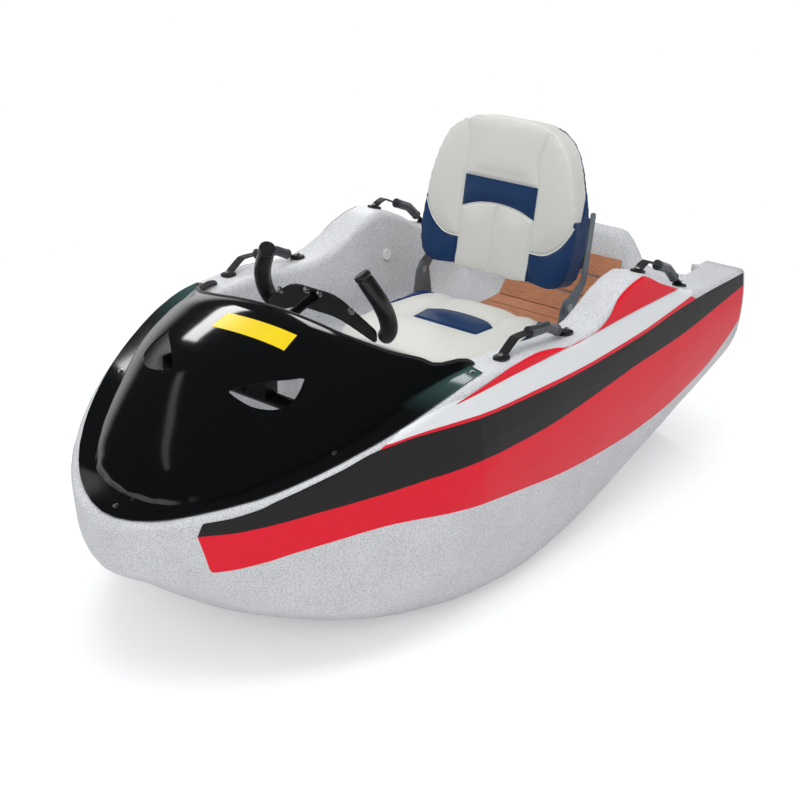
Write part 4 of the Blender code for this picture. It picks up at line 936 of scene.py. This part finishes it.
SEAM_WIDTH = 0.0046
SEAM_DEPTH = 0.0042
PUFF = 0.0075
PUFF_REACH = 0.030
PANEL_SUNK = 0.9


def sew(piece, flat, facing, seams, regions):
    """Sink each seam into the cover, and mark the blue panels by how far inside them a point is.

    flat are the cover's points across the panel, facing is 1 where they face outwards."""
    nearest = np.full(len(flat), 1e9)
    for line in seams:
        nearest = np.minimum(nearest, from_line(flat, line))
    fill = even_out(piece, PUFF * (1 - np.exp(-(nearest / PUFF_REACH)**2)), EVEN_FILL)
    depth = SEAM_DEPTH * np.exp(-(nearest / SEAM_WIDTH)**2) + PANEL_SUNK * PUFF - fill
    places = every(piece, "co") - every(piece, "normal") * (depth * facing)[:, None]
    blue = np.full(len(flat), -1.0)
    for ring in regions:
        away = from_line(flat, list(ring) + [ring[0]])
        blue = np.maximum(blue, np.where(inside(flat, ring), away, -away))
    for vert, place in zip(piece.data.vertices, places):
        vert.co = place
    mark = piece.data.attributes.new("blue_panel", "FLOAT", "POINT")
    mark.data.foreach_set("value", blue.astype(np.float32))


PIPING_RADIUS = 0.0016
PIPING_LIFT = 0.0006
PIPING_GAP = 0.012
pipings = {code: rubber("vinyl_piping_" + code[1:], code, 1.0, 0.4) for code in ("#C9CBC8", "#DADAD4")}


def piping(name, points, body, code):
    """Welt cord sewn into a join: a thin round line of the same vinyl."""
    swept(name, points, lambda share: PIPING_RADIUS, 8, pipings[code], body)


# Backrest: places are across and up its face, from the hinge line. Two tall bolsters
# wrap the corners; a blue band and two blue lower corners are let in between them
HINGE = Vector((-0.435, 0.0, 0.510))
RECLINE = math.radians(10.6)
BACK_UP = Vector((-math.sin(RECLINE), 0.0, math.cos(RECLINE)))
BACK_AHEAD = Vector((math.cos(RECLINE), 0.0, math.sin(RECLINE)))
BAND_ARC = curved([(-0.118, 0.206), (-0.066, 0.224), (0.0, 0.231), (0.066, 0.224), (0.118, 0.206)])
BAND = BAND_ARC + [(0.118, 0.294), (-0.118, 0.294)]
CORNER_LINE = curved([(0.118, 0.122), (0.157, 0.123), (0.186, 0.135), (0.217, 0.163), (0.241, 0.205),
                      (0.256, 0.262), (0.268, 0.336)])
CORNER = CORNER_LINE + [(0.330, 0.350), (0.330, -0.02), (0.118, -0.02)]
TOP_SEAM = curved([(0.118, 0.294), (0.112, 0.330), (0.113, 0.370), (0.124, 0.412), (0.142, 0.470)])
MIDDLE_SEAM = curved([(0.118, 0.294), (0.118, 0.206), (0.116, 0.150), (0.117, 0.100), (0.124, 0.060),
                      (0.130, 0.020)])

back = stuffed("seat_back", "seat_back_cover", "backrest", lambda p: False)
points = every(back, "co") - np.array(HINGE)
ahead = points @ np.array(BACK_AHEAD)
behind = np.maximum(-0.004 - ahead, 0.0)
flat = np.stack([points[:, 1] + np.sign(points[:, 1]) * behind * (abs(points[:, 1]) > 0.17),
                 points @ np.array(BACK_UP)], axis=1)
facing = np.clip((every(back, "normal") @ np.array(BACK_AHEAD) + 0.2) / 0.4, 0, 1)
seams = [BAND_ARC, [(-0.118, 0.294), (0.118, 0.294)], [(0.0, 0.229), (-0.006, 0.170), (-0.003, 0.050)]]
for line in (CORNER_LINE, TOP_SEAM, MIDDLE_SEAM):
    seams += both(line)
# Its rear takes the colours of the lowest rows: blue at both sides, pale between them
flat[ahead < -0.03, 1] = np.minimum(flat[ahead < -0.03, 1], 0.10)
sew(back, flat, facing, seams, [BAND] + both(CORNER))

# Cushion: places are along and across its top. The blue sides show past the pale top
# panel, and a small blue panel is let in at the back
INSERT_ARC = curved([(-0.289, -0.112), (-0.316, -0.070), (-0.325, 0.0), (-0.316, 0.070), (-0.289, 0.112)])
INSERT = INSERT_ARC + [(-0.219, 0.105), (-0.219, -0.105)]
SIDE_LINE = curved([(-0.462, 0.128), (-0.431, 0.156), (-0.393, 0.178), (-0.323, 0.203), (-0.231, 0.219),
                    (-0.157, 0.224), (-0.080, 0.220), (-0.020, 0.190), (0.030, 0.150)])
SIDE = SIDE_LINE + [(0.05, 0.30), (-0.48, 0.30), (-0.48, 0.128)]
REAR_SEAM = curved([(-0.289, 0.112), (-0.330, 0.104), (-0.400, 0.108), (-0.460, 0.118)])


def across(line):
    """A flat line on the cushion, mirrored across the boat's middle."""
    return [(x, -y) for x, y in line]


PAN_TOP = 0.384
CUSHION_SIDE = 0.40
cushion = stuffed("seat_cushion", "seat_cushion_cover", "boat", lambda p: p.z < PAN_TOP)
flat = every(cushion, "co")[:, :2]
facing = np.clip((every(cushion, "normal")[:, 2] + 0.1) / 0.4, 0, 1)
seams = [INSERT_ARC, [(-0.219, -0.105), (-0.219, 0.105)], [(-0.289, 0.112), (-0.219, 0.105)],
         [(-0.289, -0.112), (-0.219, -0.105)], SIDE_LINE, REAR_SEAM, across(SIDE_LINE), across(REAR_SEAM)]
sew(cushion, flat, facing, seams, [INSERT, SIDE, across(SIDE)])

back_faces = tree_of(back)
cushion_faces = tree_of(cushion)


def on_back(line):
    """Places on the backrest's face along a flat line, sunk to half the cord."""
    out = []
    for a, b in line:
        start = HINGE + Vector((0, a, 0)) + BACK_UP * b + BACK_AHEAD * 0.2
        hit, normal = back_faces.ray_cast(start, -BACK_AHEAD)[:2]
        if hit is None or (out and (hit - out[-1]).length > PIPING_GAP):
            break
        out.append(hit + normal * PIPING_LIFT)
    return out


def on_cushion(line):
    """Places on the cushion's top along a flat line."""
    out = []
    for x, y in line:
        hit, normal = straight_down(cushion_faces, x, y)
        if hit is not None and hit.z > CUSHION_SIDE:
            out.append(hit + normal * PIPING_LIFT)
    return out


def closer(line, gap=0.006):
    """The same flat line with a place every few millimetres."""
    out = [line[0]]
    for (ax, ay), (bx, by) in zip(line, line[1:]):
        count = max(1, int(math.dist((ax, ay), (bx, by)) / gap))
        out += [(ax + (bx - ax) * i / count, ay + (by - ay) * i / count) for i in range(1, count + 1)]
    return out


for word, line, code in (("band_low", BAND_ARC, "#C9CBC8"), ("corner_port", CORNER_LINE, "#DADAD4"),
                         ("corner_starboard", both(CORNER_LINE)[1], "#DADAD4")):
    piping("back_piping_" + word, on_back(closer(line)), "backrest", code)
for word, line, code in (("insert", INSERT_ARC, "#C9CBC8"), ("side_port", SIDE_LINE[:-10], "#DADAD4"),
                         ("side_starboard", across(SIDE_LINE[:-10]), "#DADAD4")):
    piping("cushion_piping_" + word, on_cushion(closer(line)), "boat", code)


# Seat steel: folded flat-bar arms and floor brackets in patchy grey paint, their edges
# eased, with zinc-plated hinge bolts.
steel_paint, tree, place = new_material("grey_painted_flat_bar")
brush = node(tree, "TexNoise", {"Vector": place}, Scale=160.0, Detail=3.0)
patch = node(tree, "TexNoise", {"Vector": place}, Scale=18.0, Detail=3.0)
tone = node(tree, "ValToRGB", {"Fac": patch}, colours=(linear("#4E585F"), linear("#7C878D")))
grain = node(tree, "Bump", {"Height": brush}, Strength=0.2, Distance=0.0003)
shader = node(tree, "BsdfPrincipled", {"Base Color": tone, "Normal": grain}, Roughness=0.42, Metallic=0.1)
node(tree, "OutputMaterial", {0: shader})
zinc = bare_metal("zinc_plated_steel_bolt", "#AEB4B6", 300.0, 0.42, 0.58, metallic=0.6)
finish_nodes(zinc, ("hinge_bolt_port", "hinge_bolt_starboard"))
for name, body in (("seat_arm", "backrest"), ("seat_bracket", "boat")):
    for word in ("port", "starboard"):
        bar = smooth_copy(name + "_" + word, name + "_bar_" + word, 30.0, body)
        bar.data.materials.append(steel_paint)
        change(bar, "BEVEL", width=0.0006, segments=2, limit_method="ANGLE")

# How far outside the hinge line the arm's bolts are looked for, and their places up and
# ahead of the hinge
ARM_OUTSIDE = 0.3386
ARM_BOLTS = ((0.130, -0.030), (0.205, -0.028), (0.075, -0.020))
for side, word in SIDES:
    arm_side = tree_of(frame["nodes"]["seat_arm_" + word])
    for i, (along, ahead) in enumerate(ARM_BOLTS):
        spot = HINGE + BACK_UP * along + BACK_AHEAD * ahead + Vector((0, side * ARM_OUTSIDE, 0))
        hit, normal = arm_side.ray_cast(spot, Vector((0, -side, 0)))[:2]
        if hit is not None and abs(normal.y) > 0.9:
            put_screw("arm_bolt_%s_%d" % (word, i), hit, normal, "backrest", size=0.9)


# Deck pads: seven strips of brown foam across the bench, brushed along their length,
# with softened edges.
foam, tree, place = new_material("brushed_brown_deck_foam")
stretch = node(tree, "Mapping", {"Vector": place}, in3=(900.0, 45.0, 900.0))
hairs = node(tree, "TexNoise", {"Vector": stretch}, Scale=1.0, Detail=3.0)
sun = node(tree, "TexNoise", {"Vector": place}, Scale=12.0, Detail=3.0)
streak = node(tree, "ValToRGB", {"Fac": hairs}, colours=(linear("#B0714E"), linear("#DFA07A")))
stops = streak.color_ramp.elements
stops[0].position, stops[1].position = 0.3, 0.7
fade = node(tree, "MapRange", {"Value": sun}, in1=0.3, in2=0.7, in3=0.92, in4=1.06)
mix = node(tree, "MixRGB", {1: streak, 2: fade}, blend_type="MULTIPLY", in0=1.0)
nap = node(tree, "Bump", {"Height": hairs}, Strength=0.4, Distance=0.0006)
shader = node(tree, "BsdfPrincipled", {"Base Color": mix, "Normal": nap}, Roughness=0.8)
node(tree, "OutputMaterial", {0: shader})
for name in sorted(n for n in frame["nodes"] if n.startswith("deck_pad")):
    strip = smooth_copy(name, "foam_" + name, 30.0, "boat")
    strip.data.materials.append(foam)
    change(strip, "BEVEL", width=0.0018, segments=2, limit_method="ANGLE")


# Wall plugs: white moulded caps pressed into the tub's foam-fill holes, two on each
# side wall of the cockpit.
plug_white = hard_skin("white_moulded_cap", "#EDEEEE", 300.0, 0.15, 0.35)
finish_nodes(plug_white, [name for name in frame["nodes"] if name.startswith("wall_plug")])


# Grab handles: each a strip of nylon webbing between two moulded pads that are
# screwed to the rail, with a smooth dark grey tube round its middle as the grip.
HANDLE_STEPS = 60
PAD_SIDES = 40
# row, x of the fore and the aft end, and the shares of the strap where the tube starts and ends
HANDLE_ENDS = (("front", 0.135, -0.126, 0.40, 0.86), ("rear", -0.450, -0.680, 0.44, 0.86))
HANDLE_LIFT = 0.031
HANDLE_Y = 0.437
STRAP_HALF = 0.0125
STRAP_THICK = 0.0034
STRAP_SECTION = ((-1, -0.6), (-0.94, -1), (0.94, -1), (1, -0.6), (1, 0.6), (0.94, 1), (-0.94, 1), (-1, 0.6))
STRAP_WAIST = 0.35
STRAP_EASE = 0.08
TUBE_RADIUS = 0.0132
PAD_LONG = 0.0205
PAD_HALF_WIDE = 0.0175
PAD_THICK = 0.0075
PAD_LAYERS = ((1.0, 0.0006), (1.0, 0.0045), (0.97, 0.0062), (0.90, 0.0072), (0.5, PAD_THICK))

webbing, tree, place = new_material("woven_black_webbing")
weave = node(tree, "TexWave", {"Vector": place}, Scale=210.0, Distortion=0.6,
             bands_direction="DIAGONAL")
threads = node(tree, "Bump", {"Height": weave.outputs["Fac"]}, Strength=0.6, Distance=0.0005)
fuzz = node(tree, "TexNoise", {"Vector": place}, Scale=60.0, Detail=3.0)
tone = node(tree, "ValToRGB", {"Fac": fuzz}, colours=(linear("#0E0E10"), linear("#26272A")))
shader = node(tree, "BsdfPrincipled", {"Base Color": tone, "Normal": threads}, Roughness=0.55)
node(tree, "OutputMaterial", {0: shader})
tube_vinyl = rubber("clear_grey_tube", "#3C3F43", 2.0, 0.14)


def strap_shell(name, rings, material, body):
    """A closed strip through rings of the same number of places."""
    count = len(rings[0])
    bpy.ops.mesh.primitive_cylinder_add(vertices=count, radius=1.0, depth=1.0, end_fill_type="NGON")
    piece = bpy.context.active_object
    piece.name = name
    bm = bmesh.new()
    loops = [[bm.verts.new(p) for p in ring] for ring in rings]
    for a, b in zip(loops, loops[1:]):
        for i in range(count):
            bm.faces.new((a[i], a[(i + 1) % count], b[(i + 1) % count], b[i]))
    bm.faces.new(loops[0][::-1])
    bm.faces.new(loops[-1])
    bmesh.ops.recalc_face_normals(bm, faces=bm.faces)
    bm.to_mesh(piece.data)
    bm.free()
    bpy.ops.object.shade_smooth_by_angle(angle=math.radians(40))
    piece.data.materials.clear()
    piece.data.materials.append(material)
    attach(piece, body)
    return piece


def tube_profile(share):
    """A tube has a bead at each end, and a groove inside the bead."""
    from_end = min(share, 1 - share)
    if from_end < 0.04:
        return TUBE_RADIUS * 1.06
    return TUBE_RADIUS * (0.90 if from_end < 0.07 else 1.0)


for row, ahead, behind, grip_start, grip_end in HANDLE_ENDS:
    for side, word in SIDES:
        ends = [straight_down(hull_faces, x, side * HANDLE_Y) for x in (ahead, behind)]
        start, end = ends[0][0], ends[1][0]
        middle_line = []
        for k in range(HANDLE_STEPS + 1):
            share = k / HANDLE_STEPS
            here = start.lerp(end, share)
            clear = max(straight_down(hull_faces, here.x, here.y)[0].z - here.z, 0.0)
            lift = HANDLE_LIFT * min(1.0, math.sin(math.pi * share ** 0.8) * 1.35) ** 1.3
            middle_line.append(here + Vector((0, 0, PAD_THICK * 0.75 + lift + clear)))
        rings = []
        for k, middle in enumerate(middle_line):
            way = (middle_line[min(k + 1, HANDLE_STEPS)] - middle_line[max(k - 1, 0)]).normalized()
            wide_way = Vector((0, 1, 0))
            up = way.cross(wide_way).normalized()
            if up.z < 0:
                up = -up
            share = k / HANDLE_STEPS
            held = (min(max((share - grip_start) / STRAP_EASE, 0.0), 1.0)
                    * min(max((grip_end - share) / STRAP_EASE, 0.0), 1.0))
            half = STRAP_HALF * (1 - STRAP_WAIST * held)
            thick = STRAP_THICK / 2
            rings.append([middle + wide_way * (half * a) + up * (thick * b) for a, b in STRAP_SECTION])
        strap = strap_shell("webbing_%s_%s" % (row, word), rings, webbing, "boat")
        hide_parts("handle_strap_%s_%s" % (row, word))
        held_line = middle_line[int(grip_start * HANDLE_STEPS):int(grip_end * HANDLE_STEPS) + 1]
        swept("tube_%s_%s" % (row, word), smooth_line(held_line, 3), tube_profile, 28, tube_vinyl, "boat")
        for i, (spot, normal) in enumerate(ends):
            toward = (end - start).normalized() * (1 if i == 0 else -1)
            toward = (toward - normal * toward.dot(normal)).normalized()
            cross = normal.cross(toward)
            outline = []
            for k in range(PAD_SIDES):
                turn = 2 * math.pi * k / PAD_SIDES
                a, b = math.cos(turn), math.sin(turn)
                outline.append((PAD_LONG * abs(a) ** 0.75 * (1 if a > 0 else -0.92),
                                PAD_HALF_WIDE * abs(b) ** 0.75 * (1 if b > 0 else -1)))
            rings = [[spot + toward * (u * size) + cross * (v * size) + normal * height for u, v in outline]
                     for size, height in PAD_LAYERS]
            strap_shell("pad_%s_%s_%d" % (row, word, i), rings, nylon, "boat")
            spot = spot - toward * 0.004 + normal * (PAD_THICK + 0.0028)
            put_screw("pad_screw_%s_%s_%d" % (row, word, i), spot, normal, "boat",
                      size=1.05)


# Thruster: powder-coated leg and bracket behind the transom. The propeller and its
# guard are moulded nylon. All three copies are shaded smooth.
THRUSTER_BOLTS = ((0.036, 0.470), (-0.036, 0.470), (0.036, 0.335), (-0.036, 0.335))
for source, name, body, cover in (("propeller_guard", "guard_moulding", "thruster", nylon),
                                  ("thruster_leg", "thruster_casting", "thruster", coat),
                                  ("propeller", "propeller_moulding", "propeller_rotor", nylon)):
    piece = smooth_copy(source, name, 35.0, body)
    piece.data.materials.append(cover)

bracket_faces = tree_of(frame["nodes"]["transom_bracket"])
for i, (y, z) in enumerate(THRUSTER_BOLTS):
    hit, normal = bracket_faces.ray_cast(Vector((-1.2, y, z)), Vector((1, 0, 0)))[:2]
    if hit is not None and abs(normal.x) > 0.9:
        put_screw("transom_bolt_%d" % i, hit, normal, "boat", size=1.2)
